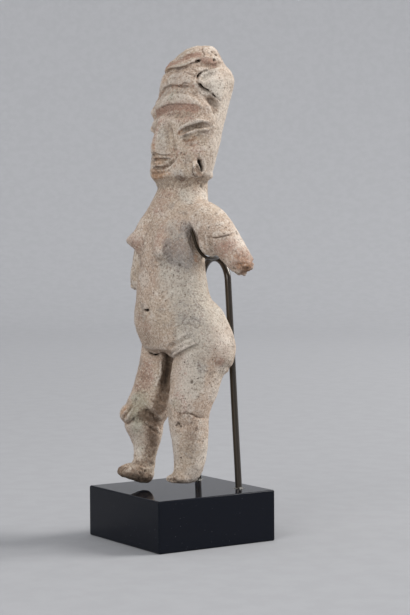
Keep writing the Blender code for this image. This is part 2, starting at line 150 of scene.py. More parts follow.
def spun(profile, steps, weld, closed=False):
    """A bmesh of a profile, given as (x, z) points, that is turned once round the Z axis."""
    bm = bmesh.new()
    verts = [bm.verts.new((x, 0, z)) for x, z in profile]
    following = verts[1:] + (verts[:1] if closed else [])
    edges = [bm.edges.new(pair) for pair in zip(verts, following)]
    bmesh.ops.spin(bm, geom=verts + edges, cent=(0, 0, 0), axis=(0, 0, 1), angle=2 * math.pi, steps=steps,
                   use_merge=True)
    bmesh.ops.remove_doubles(bm, verts=bm.verts, dist=weld)
    bmesh.ops.recalc_face_normals(bm, faces=bm.faces)
    return bm


def through(points, steps):
    """A smooth curve through rows of numbers, with this many steps between neighbours."""
    rows = np.array(points, float)
    padded = np.vstack([2 * rows[0] - rows[1], rows, 2 * rows[-1] - rows[-2]])
    made = []
    for before, start, end, after in zip(padded, padded[1:], padded[2:], padded[3:]):
        for t in np.arange(steps) / steps:
            made.append(0.5 * (2 * start + (end - before) * t
                               + (2 * before - 5 * start + 4 * end - after) * t ** 2
                               + (3 * start - before - 3 * end + after) * t ** 3))
    made.append(rows[-1])
    return np.array(made)


# %% [markdown]
# A smooth skin from the solid
#
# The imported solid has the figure's whole form in 8,000 flat triangles. Its copy is merged, because a
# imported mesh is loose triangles, and Subdivision Surface rounds the facets. A voxel Remesh then lays an
# even grid of small squares over it, fine enough to take a fingernail's mark, and a few rounds of Smooth
# take the grid's steps away. Sculpting by hand would start from the same kind of skin.

# %% Make the skin
SKIN_VOXEL = 0.50 * MM
SKIN_ROUNDING = 2
SKIN_SMOOTHING = 5
SKIN_SOFTNESS = 0.5
WELD = 0.001 * MM


def even_skin(solid):
    bm = bmesh.new()
    bm.from_mesh(solid.data)
    bmesh.ops.remove_doubles(bm, verts=bm.verts, dist=WELD)
    skin = place("skin", mesh_from(bm, "skin"))
    rounded = skin.modifiers.new("rounded", "SUBSURF")
    rounded.levels = SKIN_ROUNDING
    rounded.render_levels = SKIN_ROUNDING
    grid = skin.modifiers.new("even grid", "REMESH")
    grid.mode = "VOXEL"
    grid.voxel_size = SKIN_VOXEL
    soft = skin.modifiers.new("soft", "SMOOTH")
    soft.factor = SKIN_SOFTNESS
    soft.iterations = SKIN_SMOOTHING
    return applied(skin)


skin = even_skin(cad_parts["figurine"])
print("skin:", len(skin.vertices), "points,", len(skin.polygons), "faces")


# %% [markdown]
# What the maker pressed and cut
#
# The details are strokes of a stick or a fingernail in wet clay, and cracks that opened later. Each one is
# a width, a depth and a few points that it passes near, in millimetres from the figure's middle and its
# sole. A depth below zero raises the clay, as a pinched lip does. Dirt says how much soil has stayed in
# the stroke; in the fork it is painted shadow, and in deep holes and slits painted black shade.

# %% The headdress: a slanted cap over pads and bands
class Stroke(NamedTuple):
    name: str
    width: float
    depth: float
    # How much soil stays in the stroke; in the fork it is painted shadow, and from about 0.8 up it paints
    # the black shade inside a deep hole or slit.
    dirt_and_shade: float
    points: tuple
    both_sides: bool = False


HEADDRESS = (
    Stroke("cap rim", 0.9, -0.35, 0.0, (
        (-4.8, -0.9, 123.9), (-2.1, -0.5, 125.0), (0.1, 0.5, 126.2), (3.1, 1.7, 127.4),
        (4.6, 3.6, 128.3))),
    Stroke("cap face", 1.2, 0.25, 0.0, (
        (-3.2, -1.6, 123.7), (0.2, -1.7, 124.5), (3.4, 0.9, 125.8), (6.1, 2.9, 126.5))),
    Stroke("cap lip", 0.6, -0.35, 0.0, (
        (-4.6, -2.4, 122.6), (0.8, -2.5, 123.4), (3.4, -1.9, 123.3), (5.6, -0.6, 123.9),
        (6.6, 1.0, 124.3))),
    Stroke("under the lip", 0.5, 0.5, 0.12, (
        (-6.6, -0.6, 121.4), (-3.0, -2.4, 122.1), (0.9, -2.6, 122.6), (3.0, -1.7, 122.5),
        (5.0, -0.6, 122.9), (6.6, 1.2, 123.8))),
    Stroke("crack to the hole", 0.35, 0.35, 0.8, (
        (5.4, -0.2, 123.6), (6.6, 1.1, 124.0), (7.3, 2.8, 124.8))),
    Stroke("cap's crack", 0.34, 0.36, 0.5, (
        (4.3, 5.9, 129.2), (5.9, 4.5, 127.9), (7.0, 4.5, 126.8), (7.3, 3.2, 125.7))),
    Stroke("cap's short crack", 0.34, 0.3, 0.45, (
        (6.6, 5.2, 127.7), (7.4, 6.4, 126.9), (8.2, 6.2, 126.0))),
    Stroke("hole", 0.45, 0.9, 1.0, ((6.8, 1.6, 124.3), (7.4, 2.9, 124.9))),
    Stroke("behind the cap", 0.9, 0.4, 0.3, (
        (7.6, 3.2, 123.6), (8.6, 5.5, 123.2), (9.2, 7.5, 123.6), (8.4, 11.0, 123.4))),
    Stroke("back of the cap", 1.0, -0.3, 0.0, ((8.3, 5.2, 126.0), (8.7, 8.6, 125.6), (7.4, 12.4, 125.2))),
    Stroke("upper slit", 0.55, 1.2, 0.95, (
        (9.3, 0.4, 119.3), (9.5, 1.2, 120.3), (9.6, 1.7, 120.8), (9.8, 2.5, 121.3))),
    Stroke("upper slit's tail", 0.42, 0.35, 0.5, (
        (9.6, 1.7, 120.8), (9.9, 2.9, 121.5), (9.9, 4.1, 122.2), (9.3, 6.1, 122.7), (9.3, 7.8, 123.3))),
    Stroke("lower slit", 0.55, 1.4, 1.0, (
        (9.9, 0.2, 118.3), (10.0, 0.8, 117.7), (10.0, 1.4, 117.0), (10.3, 2.4, 116.2), (10.7, 3.1, 115.6),
        (11.2, 4.2, 114.8))),
    Stroke("lower slit's tail", 0.42, 0.55, 1.0, (
        (10.2, 2.2, 116.3), (10.8, 3.3, 115.4), (11.4, 4.7, 114.4), (11.7, 6.6, 113.2))),
    Stroke("lobe's rim", 0.6, -0.25, 0.0, (
        (10.0, 3.0, 120.4), (9.7, 1.7, 119.7), (9.7, 1.2, 118.8), (10.1, 2.0, 117.8),
        (10.7, 3.4, 116.6))),
    Stroke("flap's edge", 0.7, -0.38, 0.0, (
        (10.0, 1.4, 115.8), (10.5, 3.0, 114.6), (11.2, 4.8, 113.3), (11.8, 6.8, 112.0))),
    Stroke("under the flap", 1.8, 0.5, 0.2, ((10.3, 3.6, 113.2), (11.2, 5.0, 111.6), (11.8, 5.6, 109.8))),
    Stroke("pad line", 0.4, 0.28, 0.4, ((5.8, 0.3, 122.8), (8.4, 0.4, 121.8), (9.5, 1.1, 120.9))),
    Stroke("pad's second line", 0.4, 0.25, 0.35, (
        (5.0, -1.6, 121.6), (7.6, -1.2, 120.8), (9.2, 0.2, 120.2))),
    Stroke("between the pads", 0.7, 0.25, 0.15, (
        (0.4, -3.0, 121.8), (-0.2, -3.6, 119.6), (0.0, -3.8, 118.0))),
    Stroke("upper groove", 0.5, 0.5, 0.1, (
        (-5.0, -3.1, 115.2), (-3.0, -3.5, 116.2), (-1.3, -3.9, 117.0), (1.8, -3.7, 117.4),
        (4.7, -3.1, 117.2), (7.1, -1.9, 116.9), (8.9, -0.8, 117.0))),
    Stroke("upper groove's wiggle", 0.38, 0.3, 0.2, (
        (6.0, -2.7, 117.2), (6.6, -2.6, 117.7), (7.6, -2.2, 117.9), (8.3, -1.7, 117.6),
        (9.0, -1.0, 118.1))),
    Stroke("below the groove", 0.7, -0.25, 0.0, (
        (-4.0, -3.9, 114.9), (-1.0, -4.1, 116.0), (3.0, -3.8, 116.4), (7.0, -2.2, 116.0),
        (9.4, -0.2, 115.9))),
    Stroke("brow hollow", 1.2, 0.4, 0.12, (
        (-5.0, -4.2, 109.9), (-2.5, -4.6, 110.2), (2.2, -5.1, 110.8), (5.8, -4.6, 111.0),
        (8.1, -3.7, 111.0), (10.1, -1.8, 110.7), (11.1, -0.1, 110.2), (11.7, 1.2, 109.5))),
    Stroke("brow crease", 0.45, 0.35, 0.35, (
        (-4.0, -4.4, 110.8), (-0.6, -4.9, 111.4), (2.4, -5.0, 111.7), (5.6, -4.5, 111.7),
        (8.6, -3.2, 111.6), (10.3, -1.5, 111.2))),
)
print(len(HEADDRESS), "strokes on the headdress")


# %% [markdown]
# The face
#
# It is a maker's sign for a face, as on a doll: two slanting slits for each eye, a broad wedge for a nose,
# a pressed mouth with one ridge between its lips, and a disc with a hole for each ear. Strokes that both
# sides share are written once and mirrored, and a line across the middle is written as its left half.

# %% The face's strokes
def across(*half):
    """A line across the face, from its left half. A point at x = 0 is its middle and has no twin."""
    twins = [(-x, y, z) for x, y, z in half if x != 0]
    return (*reversed(twins), *half)


FACE = (
    Stroke("eye slit", 1.25, 1.15, 0.38, (
        (6.7, -4.5, 103.0), (8.3, -3.6, 104.0), (9.6, -2.3, 104.7), (10.8, -0.6, 105.2),
        (11.9, 0.8, 105.6), (12.3, 2.6, 105.6)), True),
    Stroke("eyelid", 0.6, -0.4, 0.0, (
        (6.7, -4.7, 103.9), (8.0, -4.4, 105.0), (10.0, -2.8, 106.2), (11.9, -0.3, 106.9),
        (12.3, 2.2, 106.6), (12.2, 3.9, 105.5)), True),
    Stroke("eye ridge", 0.6, -0.75, 0.0, (
        (6.8, -4.3, 102.6), (8.1, -2.8, 103.3), (9.7, -0.9, 103.8), (11.0, 1.3, 104.4),
        (12.0, 3.5, 104.8)), True),
    Stroke("lower eye slit", 1.2, 0.85, 0.2, (
        (7.4, -3.4, 101.8), (8.6, -2.8, 102.0), (10.2, -1.8, 102.1), (11.0, -0.4, 102.5),
        (11.6, 1.2, 103.1)), True),
    Stroke("nose side", 0.8, 0.4, 0.2, (
        (1.6, -6.2, 107.6), (3.0, -5.4, 105.7), (4.3, -5.1, 103.5), (5.0, -4.9, 101.3), (5.4, -4.8, 99.3),
        (5.2, -5.1, 97.6)), True),
    Stroke("under the nose", 0.55, 0.45, 0.2, across(
        (0.6, -8.4, 97.6), (3.3, -6.6, 97.2), (5.2, -5.2, 97.0))),
    Stroke("upper lip", 0.5, -0.35, 0.0, across((0.0, -7.4, 96.9), (3.3, -6.6, 96.7), (5.6, -5.2, 95.9))),
    Stroke("upper mouth", 0.55, 0.22, 0.1, across(
        (0.0, -7.4, 96.1), (3.2, -6.3, 96.1), (5.6, -5.4, 95.6))),
    Stroke("mouth ridge", 0.45, -0.42, 0.0, across(
        (0.0, -7.6, 94.9), (3.0, -6.5, 95.2), (4.7, -5.7, 95.3))),
    Stroke("lower mouth", 0.66, 0.62, 0.42, across(
        (0.0, -8.0, 93.5), (3.4, -7.1, 93.7), (5.4, -5.7, 95.0), (6.6, -4.9, 96.8))),
    Stroke("lower lip", 0.6, -0.35, 0.0, across(
        (0.0, -8.0, 92.7), (2.6, -7.5, 92.8), (4.3, -6.5, 93.2), (5.9, -5.6, 94.7))),
    Stroke("chin's hollow", 1.0, 0.25, 0.1, across((0.0, -7.9, 91.6), (3.0, -7.4, 91.6))),
    Stroke("ear disc", 1.0, 0.35, 0.3, (
        (11.5, -1.6, 94.2), (11.9, -1.4, 92.8), (11.9, -0.4, 92.0), (11.6, 0.8, 92.2)), True),
    Stroke("ear rim", 0.55, -0.3, 0.0, (
        (11.2, -2.0, 95.4), (11.8, -2.7, 93.9), (12.0, -2.5, 92.1), (12.0, -1.2, 90.9), (11.8, 0.6, 91.0),
        (10.8, 2.2, 92.3)), True),
    Stroke("round the ear", 0.45, 0.45, 0.75, (
        (11.2, -3.0, 95.4), (11.6, -3.7, 93.7), (11.7, -3.5, 91.5), (11.3, -1.6, 90.0), (10.7, 1.2, 90.1),
        (9.9, 3.0, 91.6)), True),
    Stroke("ear hole", 0.95, 2.4, 2.2, (
        (11.1, -0.3, 95.6), (11.6, 0.4, 94.6), (11.7, 1.0, 93.6), (11.6, 1.5, 92.6)), True),
    Stroke("under the jaw", 1.3, 0.25, 0.2, (
        (0.0, -7.4, 90.6), (3.8, -6.2, 90.0), (7.2, -4.3, 89.7), (8.8, -1.1, 89.8),
        (8.9, 3.0, 90.3)), True),
)
print(len(FACE), "strokes on the face")


# %% [markdown]
# The body and limbs
#
# Joints of the body are creases where one roll of clay was pressed onto another. The thin crack across the
# left arm, the one under the belly and the one at the left knee are drying cracks. The toes are notches.

# %% The body's and the limbs' strokes
BODY = (
    Stroke("armpit", 0.9, 0.5, 0.6, (
        (13.0, -4.0, 77.2), (11.5, -2.8, 74.0), (11.2, -1.8, 70.8), (11.6, -0.6, 68.4)), True),
    Stroke("arm fold", 0.8, -0.35, 0.0, (
        (17.6, -2.6, 75.6), (17.3, -1.8, 72.5), (16.7, -0.9, 70.5), (16.0, 0.9, 68.4))),
    Stroke("outside the fold", 0.9, 0.3, 0.2, (
        (19.1, -1.9, 74.4), (18.6, -1.2, 72.0), (17.9, 0.2, 69.6))),
    Stroke("arm crack", 0.34, 0.35, 0.75, (
        (18.4, -2.0, 73.4), (19.9, -1.3, 73.2), (21.7, -0.1, 73.3), (22.9, 1.9, 73.9),
        (22.4, 5.3, 74.5))),
    Stroke("left breast", 1.0, -0.2, 0.0, (
        (7.2, -7.6, 78.4), (8.0, -8.9, 74.8), (8.6, -9.9, 72.0), (9.2, -11.4, 70.4))),
    Stroke("beside the left breast", 0.9, 0.3, 0.35, (
        (8.6, -10.6, 71.8), (9.6, -11.0, 69.7), (9.3, -10.5, 67.6))),
    Stroke("under the left breast", 0.8, 0.25, 0.12, (
        (1.6, -11.3, 67.0), (4.2, -10.9, 66.4), (7.8, -10.2, 66.6))),
    Stroke("under the right breast", 0.8, 0.3, 0.2, (
        (-2.4, -11.4, 68.4), (-5.0, -11.2, 67.4), (-8.4, -9.8, 67.2))),
    Stroke("navel", 0.4, 0.9, 1.5, ((-0.3, -12.4, 52.1), (1.5, -12.2, 51.8))),
    Stroke("right groin crack", 0.4, 0.6, 0.95, (
        (-10.4, -5.4, 39.6), (-7.3, -5.3, 38.7), (-5.5, -4.7, 38.5), (-1.6, -5.2, 38.9))),
    Stroke("below the crack", 0.6, -0.25, 0.0, (
        (-9.4, -5.6, 38.4), (-7.0, -5.6, 37.8), (-4.6, -5.0, 37.5))),
    Stroke("left groin", 0.9, 0.5, 0.3, (
        (4.4, -6.6, 41.0), (8.0, -7.8, 42.0), (11.8, -7.8, 43.3), (14.4, -6.8, 44.7),
        (16.2, -4.8, 45.6))),
    Stroke("left thigh's edge", 0.6, -0.6, 0.0, (
        (2.8, -4.8, 38.3), (7.0, -6.4, 39.4), (10.8, -7.2, 40.5), (13.8, -6.7, 41.8), (15.7, -5.6, 42.7),
        (17.0, -4.0, 43.2))),
    # Painted shadow: this stroke's soil darkens the cleft between the thighs, where shade falls; its depth
    # is the real cleft.
    Stroke("fork", 1.9, 1.1, 0.8, (
        (0.4, -6.2, 39.9), (-0.8, -4.8, 38.6), (-2.3, -3.5, 37.4), (-2.4, -2.8, 35.2), (-2.5, -3.1, 32.2),
        (-2.6, -3.7, 28.7), (-2.7, -4.4, 25.7))),
    Stroke("fork's ragged edge", 0.6, -0.35, 0.0, (
        (-0.8, -6.0, 39.0), (-3.6, -4.4, 36.4), (-3.6, -4.7, 32.8), (-4.0, -6.0, 29.3),
        (-4.2, -7.4, 26.2))),
    Stroke("buttock cleft", 1.1, 1.1, 0.6, (
        (0.0, 6.6, 52.0), (0.0, 8.6, 48.0), (0.0, 9.0, 43.0), (0.0, 7.6, 39.0))),
    Stroke("under the buttock", 0.9, 0.4, 0.3, (
        (2.4, 8.2, 36.6), (8.0, 9.4, 35.4), (14.0, 7.4, 35.6), (17.4, 3.4, 36.6)), True),
)
LEGS = (
    Stroke("left knee crack", 0.42, 0.4, 0.55, (
        (12.8, -8.1, 22.2), (13.8, -7.2, 22.8), (14.9, -5.9, 22.6), (15.6, -3.9, 21.6),
        (14.9, -0.3, 20.9))),
    Stroke("left knee cap", 1.6, -0.3, 0.0, ((12.6, -8.0, 21.2), (14.6, -5.6, 21.0))),
    Stroke("under the left knee", 1.4, 0.3, 0.1, (
        (11.6, -8.6, 18.9), (13.4, -7.2, 19.4), (14.8, -5.0, 19.2))),
    Stroke("right knee ridge", 0.6, -0.45, 0.0, (
        (-11.0, -13.9, 19.4), (-8.9, -14.2, 21.4), (-7.8, -13.5, 22.6), (-8.7, -11.9, 23.8))),
    Stroke("right knee's second ridge", 0.5, -0.35, 0.0, (
        (-9.8, -13.4, 18.8), (-7.9, -13.2, 20.2), (-6.9, -12.8, 21.8), (-6.8, -11.9, 23.4))),
    Stroke("between the ridges", 0.4, 0.4, 0.5, (
        (-10.3, -13.7, 19.2), (-8.4, -13.8, 20.8), (-7.3, -13.2, 22.2), (-7.7, -12.0, 23.6))),
    Stroke("right knee curl", 0.55, 0.5, 0.6, (
        (-11.0, -13.3, 18.4), (-9.4, -12.9, 18.1), (-7.5, -12.3, 18.9), (-5.6, -12.0, 20.4))),
    Stroke("behind the right knee", 0.6, 0.45, 0.6, (
        (-5.0, -11.0, 21.2), (-4.0, -9.5, 22.1), (-3.3, -7.9, 21.1), (-3.6, -6.3, 19.2),
        (-4.6, -4.3, 16.9))),
    Stroke("the knee's second crease", 0.5, 0.4, 0.6, (
        (-5.2, -10.6, 19.4), (-4.2, -8.8, 17.8), (-4.4, -6.9, 16.2), (-5.2, -5.0, 15.0))),
    Stroke("left ankle crease", 0.5, 0.3, 0.45, ((7.3, -6.8, 8.4), (7.0, -7.0, 6.0), (7.2, -8.2, 3.9))),
    Stroke("left toe notch", 0.5, 0.45, 0.5, ((6.4, -7.8, 4.8), (6.4, -9.6, 3.6), (6.4, -8.8, 2.2))),
    Stroke("left middle toe notch", 0.5, 0.5, 0.5, (
        (8.2, -8.2, 5.0), (8.2, -10.0, 3.6), (8.2, -9.0, 2.1))),
    Stroke("left outer toe notch", 0.5, 0.45, 0.5, (
        (10.0, -7.4, 4.8), (10.1, -9.0, 3.6), (10.0, -8.4, 2.3))),
    Stroke("right toe notch", 0.5, 0.35, 0.4, (
        (-6.8, -14.6, 6.6), (-6.9, -16.9, 5.0), (-7.0, -16.0, 3.6))),
    Stroke("right outer toe notch", 0.5, 0.35, 0.4, (
        (-9.1, -14.6, 6.6), (-9.0, -16.9, 5.0), (-8.9, -16.0, 3.6))),
)
print(len(BODY) + len(LEGS), "strokes on the body and limbs")


# %% [markdown]
# A finer skin where the strokes go
#
# A stroke half a millimetre wide needs smaller faces than the rest. Every edge near a stroke is cut in two
# with subdivide_edges and its grid fill, so the fine squares are spent only where they show, and the piece
# stays within its number of triangles.

# %% Refine along the strokes
STROKE_STEPS = 10
REFINE_MARGIN = 0.35


def in_figure_mm(points):
    """World points in metres as millimetres from the figure's middle and above its sole."""
    return (np.array(points, float) - (0, 0, figure_low.z)) / MM


def both_ways(strokes):
    for stroke in strokes:
        yield stroke
        if stroke.both_sides:
            yield stroke._replace(points=tuple((-x, y, z) for x, y, z in stroke.points))


def read_points(mesh):
    flat = np.empty(len(mesh.vertices) * 3)
    mesh.vertices.foreach_get("co", flat)
    return in_figure_mm(flat.reshape(-1, 3))


def reach_of(points, path, width):
    """The numbers of the points closer to a path than a width, and how far away each is."""
    near = np.flatnonzero(((points > path.min(0) - width) & (points < path.max(0) + width)).all(axis=1))
    away = np.linalg.norm(points[near][:, None, :] - path[None, :, :], axis=2)
    inside = away.min(axis=1) < width
    return near[inside], away[inside]


def settled_strokes(mesh):
    """Every stroke with its path laid onto the skin."""
    points = read_points(mesh)
    faces = [tuple(face.vertices) for face in mesh.polygons]
    tree = BVHTree.FromPolygons([Vector(p) for p in points], faces)
    laid = []
    for stroke in both_ways(HEADDRESS + FACE + BODY + LEGS):
        path = through(stroke.points, STROKE_STEPS)
        laid.append((stroke, np.array([tree.find_nearest(Vector(p))[0] for p in path])))
    return laid


def refine(mesh, laid):
    points = read_points(mesh)
    chosen = set()
    for stroke, path in laid:
        chosen.update(reach_of(points, path, stroke.width + REFINE_MARGIN)[0].tolist())
    bm = bmesh.new()
    bm.from_mesh(mesh)
    edges = [edge for edge in bm.edges if edge.verts[0].index in chosen and edge.verts[1].index in chosen]
    bmesh.ops.subdivide_edges(bm, edges=edges, cuts=1, use_grid_fill=True)
    bmesh.ops.triangulate(bm, faces=[face for face in bm.faces if len(face.verts) > 4])
    bm.to_mesh(mesh)
    bm.free()


laid_strokes = settled_strokes(skin)
refine(skin, laid_strokes)
print("refined skin:", len(skin.vertices), "points,", len(skin.polygons), "faces")


# %% [markdown]
# The clay under the tool
#
# The clay is kept as an array of points with a normal each, in millimetres, so that one line of numpy
# pushes thousands of points. Beside them it keeps marks, numbers that say how much soil, stain or wear lies
# at each point. The soil, brown and orange marks also carry painted shade in a few places, and the pale
# mark painted light. Cut off at 0 and 1, they become attributes of the mesh, which the finish reads later.
# A stroke wanders a little by noise_vector, whose seed Blender takes from the clock, so it is set first.

# %% A class for worked clay
MARKS = ("soil_and_shade", "pink", "grey", "orange", "olive", "brown", "pale", "chalk")
STROKE_FADE = 0.22
STROKE_END = 0.3
STROKE_WANDER = 0.14
STROKE_WANDER_SIZE = 1.7
STROKE_WANDER_SEED = 28
STROKE_UNEVEN = 0.3
STROKE_UNEVEN_SIZE = 1.3
STAIN_STEPS = 4


class Clay:
    def __init__(self, mesh):
        self.mesh = mesh
        self.points = read_points(mesh)
        pairs = np.empty(len(mesh.edges) * 2, np.int32)
        mesh.edges.foreach_get("vertices", pairs)
        self.pairs = pairs.reshape(-1, 2)
        self.marks = {name: np.zeros(len(self.points)) for name in MARKS}
        self.read_normals()

    def read_normals(self):
        world = self.points * MM + (0, 0, figure_low.z)
        self.mesh.vertices.foreach_set("co", world.ravel())
        self.mesh.update()
        flat = np.empty(len(self.points) * 3)
        self.mesh.vertex_normals.foreach_get("vector", flat)
        self.normals = flat.reshape(-1, 3)

    def push(self, amount, where=slice(None)):
        self.points[where] += self.normals[where] * np.asarray(amount)[..., None]

    def noise_at(self, size, where=None, stretch=(1, 1, 1), seed=0.0):
        """Smooth noise from -1 to 1, whose lumps are about this many millimetres apart."""
        chosen = self.points if where is None else self.points[where]
        scaled = chosen / (np.array(stretch) * size) + seed
        return np.array([noise.noise(Vector(p)) for p in scaled])

    def relaxed(self, rounds):
        """The points after this many rounds of moving each one to its neighbours' middle."""
        count = len(self.points)
        first, second = self.pairs.T
        degree = np.bincount(first, minlength=count) + np.bincount(second, minlength=count)
        points = self.points
        for _ in range(rounds):
            columns = []
            for axis in range(3):
                column = points[:, axis]
                total = np.bincount(first, column[second], count)
                total += np.bincount(second, column[first], count)
                columns.append(total / degree)
            points = np.stack(columns, axis=1)
        return points

    def sunk(self, rounds):
        """How far each point lies below its surroundings, in millimetres."""
        return ((self.relaxed(rounds) - self.points) * self.normals).sum(axis=1)

    def mark(self, name, where, amount):
        self.marks[name][where] = np.maximum(self.marks[name][where], amount)

    def press(self, stroke, path):
        """Presses a groove along a path, a little unevenly, or raises a ridge."""
        wander = np.array([noise.noise_vector(Vector(p) / STROKE_WANDER_SIZE) for p in path])
        path = path + wander * min(STROKE_WANDER, stroke.width / 3)
        share = np.linspace(0, 1, len(path))
        strength = np.clip(np.minimum(share, 1 - share) / STROKE_FADE, STROKE_END, 1)
        uneven = np.array([noise.noise(Vector(p) / STROKE_UNEVEN_SIZE) for p in path])
        strength *= 1 + STROKE_UNEVEN * uneven
        where, away = reach_of(self.points, path, stroke.width)
        profile = (np.clip(1 - (away / stroke.width) ** 2, 0, None) * strength).max(axis=1)
        self.push(-stroke.depth * profile, where)
        if stroke.dirt_and_shade:
            self.mark("soil_and_shade", where, stroke.dirt_and_shade * np.clip(profile, 0, 1))

    def stain(self, name, strength, reach, points):
        """Marks a soft patch round a spot or along a line."""
        path = through(points, STAIN_STEPS) if len(points) > 1 else np.array(points, float)
        where, away = reach_of(self.points, path, reach)
        self.mark(name, where, strength * (1 - (away.min(axis=1) / reach) ** 2))

    def finished(self):
        self.read_normals()
        for name, values in self.marks.items():
            layer = self.mesh.attributes.new(name, "FLOAT", "POINT")
            layer.data.foreach_set("value", np.clip(values, 0, 1).astype(np.float32))
        self.mesh.shade_smooth()
        return self.mesh


noise.seed_set(STROKE_WANDER_SEED)
clay = Clay(skin)
print("clay with", len(clay.points), "points and marks for", ", ".join(MARKS))


# %% [markdown]
# Hands, tools and time
#
# First come small nudges, which bring the outline nearer to the real one, and the soft lumps and long,
# shallow smears that fingers leave. The strokes follow, each on fresh normals. Then burial works on it, and
# the skin is worn into fine hollows.

# %% Work the clay
class Nudge(NamedTuple):
    name: str
    middle: tuple
    reach: float
    by: tuple


NUDGES = (
    Nudge("cap's high back", (4.4, 9.0, 128.6), 5.5, (0.1, 0.3, 0.56)),
    Nudge("cap's low front", (-3.0, 4.5, 128.4), 5.0, (0.2, 0.2, -0.8)),
    Nudge("notch below the cap", (-7.6, -0.8, 122.0), 3.2, (0.9, 0.7, 0.0)),
    Nudge("left pad", (9.0, 12.5, 120.4), 5.0, (0.4, 0.8, 0.0)),
    Nudge("jaw's left corner", (8.5, 5.4, 90.4), 2.6, (0.5, 0.9, -0.2)),
    Nudge("right flank", (-9.0, -9.6, 47.0), 8.0, (-0.45, -0.7, 0.0)),
    Nudge("right pad", (-8.0, -1.6, 118.6), 5.0, (1.0, 0.7, 0.0)),
    Nudge("right brow crease", (-9.2, -2.6, 110.2), 3.2, (-1.1, -0.8, 0.0)),
    Nudge("right band crease", (-7.4, -3.0, 114.8), 2.6, (-0.6, -0.5, 0.0)),
    Nudge("right breast", (-6.8, -12.4, 71.6), 4.8, (-0.4, -1.0, 0.5)),
    Nudge("left arm's tip", (25.6, 4.2, 62.8), 3.4, (0.7, 1.1, -0.3)),
    Nudge("first left toe", (7.2, -8.9, 3.2), 1.2, (0.1, -0.5, 0.2)),
    Nudge("second left toe", (9.2, -8.7, 3.6), 1.2, (0.2, -0.5, 0.2)),
    Nudge("third left toe", (10.9, -7.6, 3.5), 1.2, (0.3, -0.4, 0.2)),
)
FINGER_LUMPS = ((0.12, 5.5), (0.12, 2.8))
SMEAR_DEPTH = 0.04
SMEAR_SIZE = 0.6
SMEAR_STRETCH = (1.0, 1.0, 9.0)
EROSION = ((0.095, 1.7), (0.065, 0.85))
EROSION_LIFT = 0.5


def finger_work():
    for nudge in NUDGES:
        away = np.linalg.norm(clay.points - np.array(nudge.middle), axis=1) / nudge.reach
        clay.points += np.array(nudge.by) * (np.clip(1 - away ** 2, 0, 1) ** 2)[:, None]
    clay.read_normals()
    for amount, size in FINGER_LUMPS:
        clay.push(amount * clay.noise_at(size))
    clay.push(SMEAR_DEPTH * clay.noise_at(SMEAR_SIZE, stretch=SMEAR_STRETCH, seed=4.0))
    clay.read_normals()


def press_strokes():
    for stroke, path in laid_strokes:
        clay.press(stroke, path)
        clay.read_normals()


def erode():
    """Wears hollows where the noise is strong. The lift between them keeps the figure's size."""
    for number, (amount, size) in enumerate(EROSION):
        rough = clay.noise_at(size, seed=11.0 + number)
        clay.push(-amount * np.abs(rough) * 2 + amount * EROSION_LIFT)
    clay.read_normals()


finger_work()
press_strokes()
erode()
print("soil marks on", int((clay.marks["soil_and_shade"] > 0.2).sum()), "points")


# %% [markdown]
# Pores, grit and breaks
#
# Where the smooth slip has gone, grit has fallen out and left pores: most on the cap, the neck, the cheek,
# the left shin, the inside of the right leg with its foot, and the broken ends. Elsewhere they are strewn
# thinly. They are drawn with a seeded random, so that each run gives the same piece. A KDTree finds the few
# points that each pore touches. The broken arms are rough, and the toes, the right foot, the hollow behind
# its knee and the top of the cap are a little so.

# %% Strew pores and roughen the breaks
PORES = 430
PORE_SEED = 28
PORE_RADIUS = (0.28, 0.55)
PORE_DEPTH = (0.08, 0.30)
PORE_DIRT = (0.1, 0.6)
POROUS = (
    ((7.0, -1.0, 87.5), 5.0),
    ((8.5, -3.8, 97.0), 4.0),
    ((-4.8, -10.0, 4.5), 5.0),
    ((-4.6, -8.5, 9.5), 4.0),
    ((-4.0, -8.4, 19.6), 3.6),
    ((-3.2, -5.4, 27.0), 3.6),
    ((11.0, -7.0, 16.0), 6.0),
    ((26.0, 4.5, 65.5), 5.0),
    ((-21.0, -1.0, 60.0), 4.0),
    ((6.0, 6.0, 126.0), 7.0),
)
POROUS_SHARE = 0.55
PIT_DIRT = 0.75
SINGLE_PITS = (
    ((10.7, -6.7, 65.5), 0.55, 0.6),
    ((15.3, -5.9, 31.8), 0.75, 0.35),
    ((7.9, 2.6, 88.1), 0.7, 0.5),
    ((6.7, 7.4, 127.6), 0.6, 0.4),
    ((7.5, 8.3, 126.7), 0.7, 0.45),
    ((4.2, 8.0, 129.2), 0.5, 0.35),
    ((8.9, 6.7, 125.0), 0.6, 0.4),
    ((12.4, -8.2, 18.6), 0.55, 0.35),
    ((11.4, -8.7, 18.9), 0.5, 0.35),
    ((8.1, -4.4, 97.7), 0.5, 0.4),
    ((8.9, -3.9, 97.1), 0.45, 0.4),
    ((11.9, -8.4, 19.5), 0.7, 0.4),
    ((-4.2, -9.6, 4.2), 0.6, 0.5),
    ((-4.5, -10.6, 5.2), 0.5, 0.5),
    ((-3.9, -11.5, 3.6), 0.5, 0.4),
)
ROUGH_PLACES = (
    ((27.2, 5.4, 64.4), 5.8, 0.95),
    ((-21.5, -0.9, 58.2), 4.4, 0.7),
    ((8.4, -9.0, 3.0), 2.6, 0.35),
    ((-5.4, -10.5, 4.5), 7.0, 0.5),
    ((-3.8, -7.6, 20.0), 4.6, 0.4),
    ((0.0, 9.0, 129.0), 8.0, 0.35),
)
ROUGH_GRAIN = 1.1
ROUGH_FINE_GRAIN = ROUGH_GRAIN / 2.3
ROUGH_MIDDLE = 0.25


def sink_pit(tree, centre, radius, depth, dirt_and_shade):
    found = tree.find_range(Vector(centre), radius)
    if not found:
        return
    where = np.array([number for _place, number, _away in found])
    away = np.array([distance for _place, _number, distance in found]) / radius
    clay.push(-depth * (1 - away ** 2), where)
    clay.mark("soil_and_shade", where, dirt_and_shade * (1 - away ** 3))


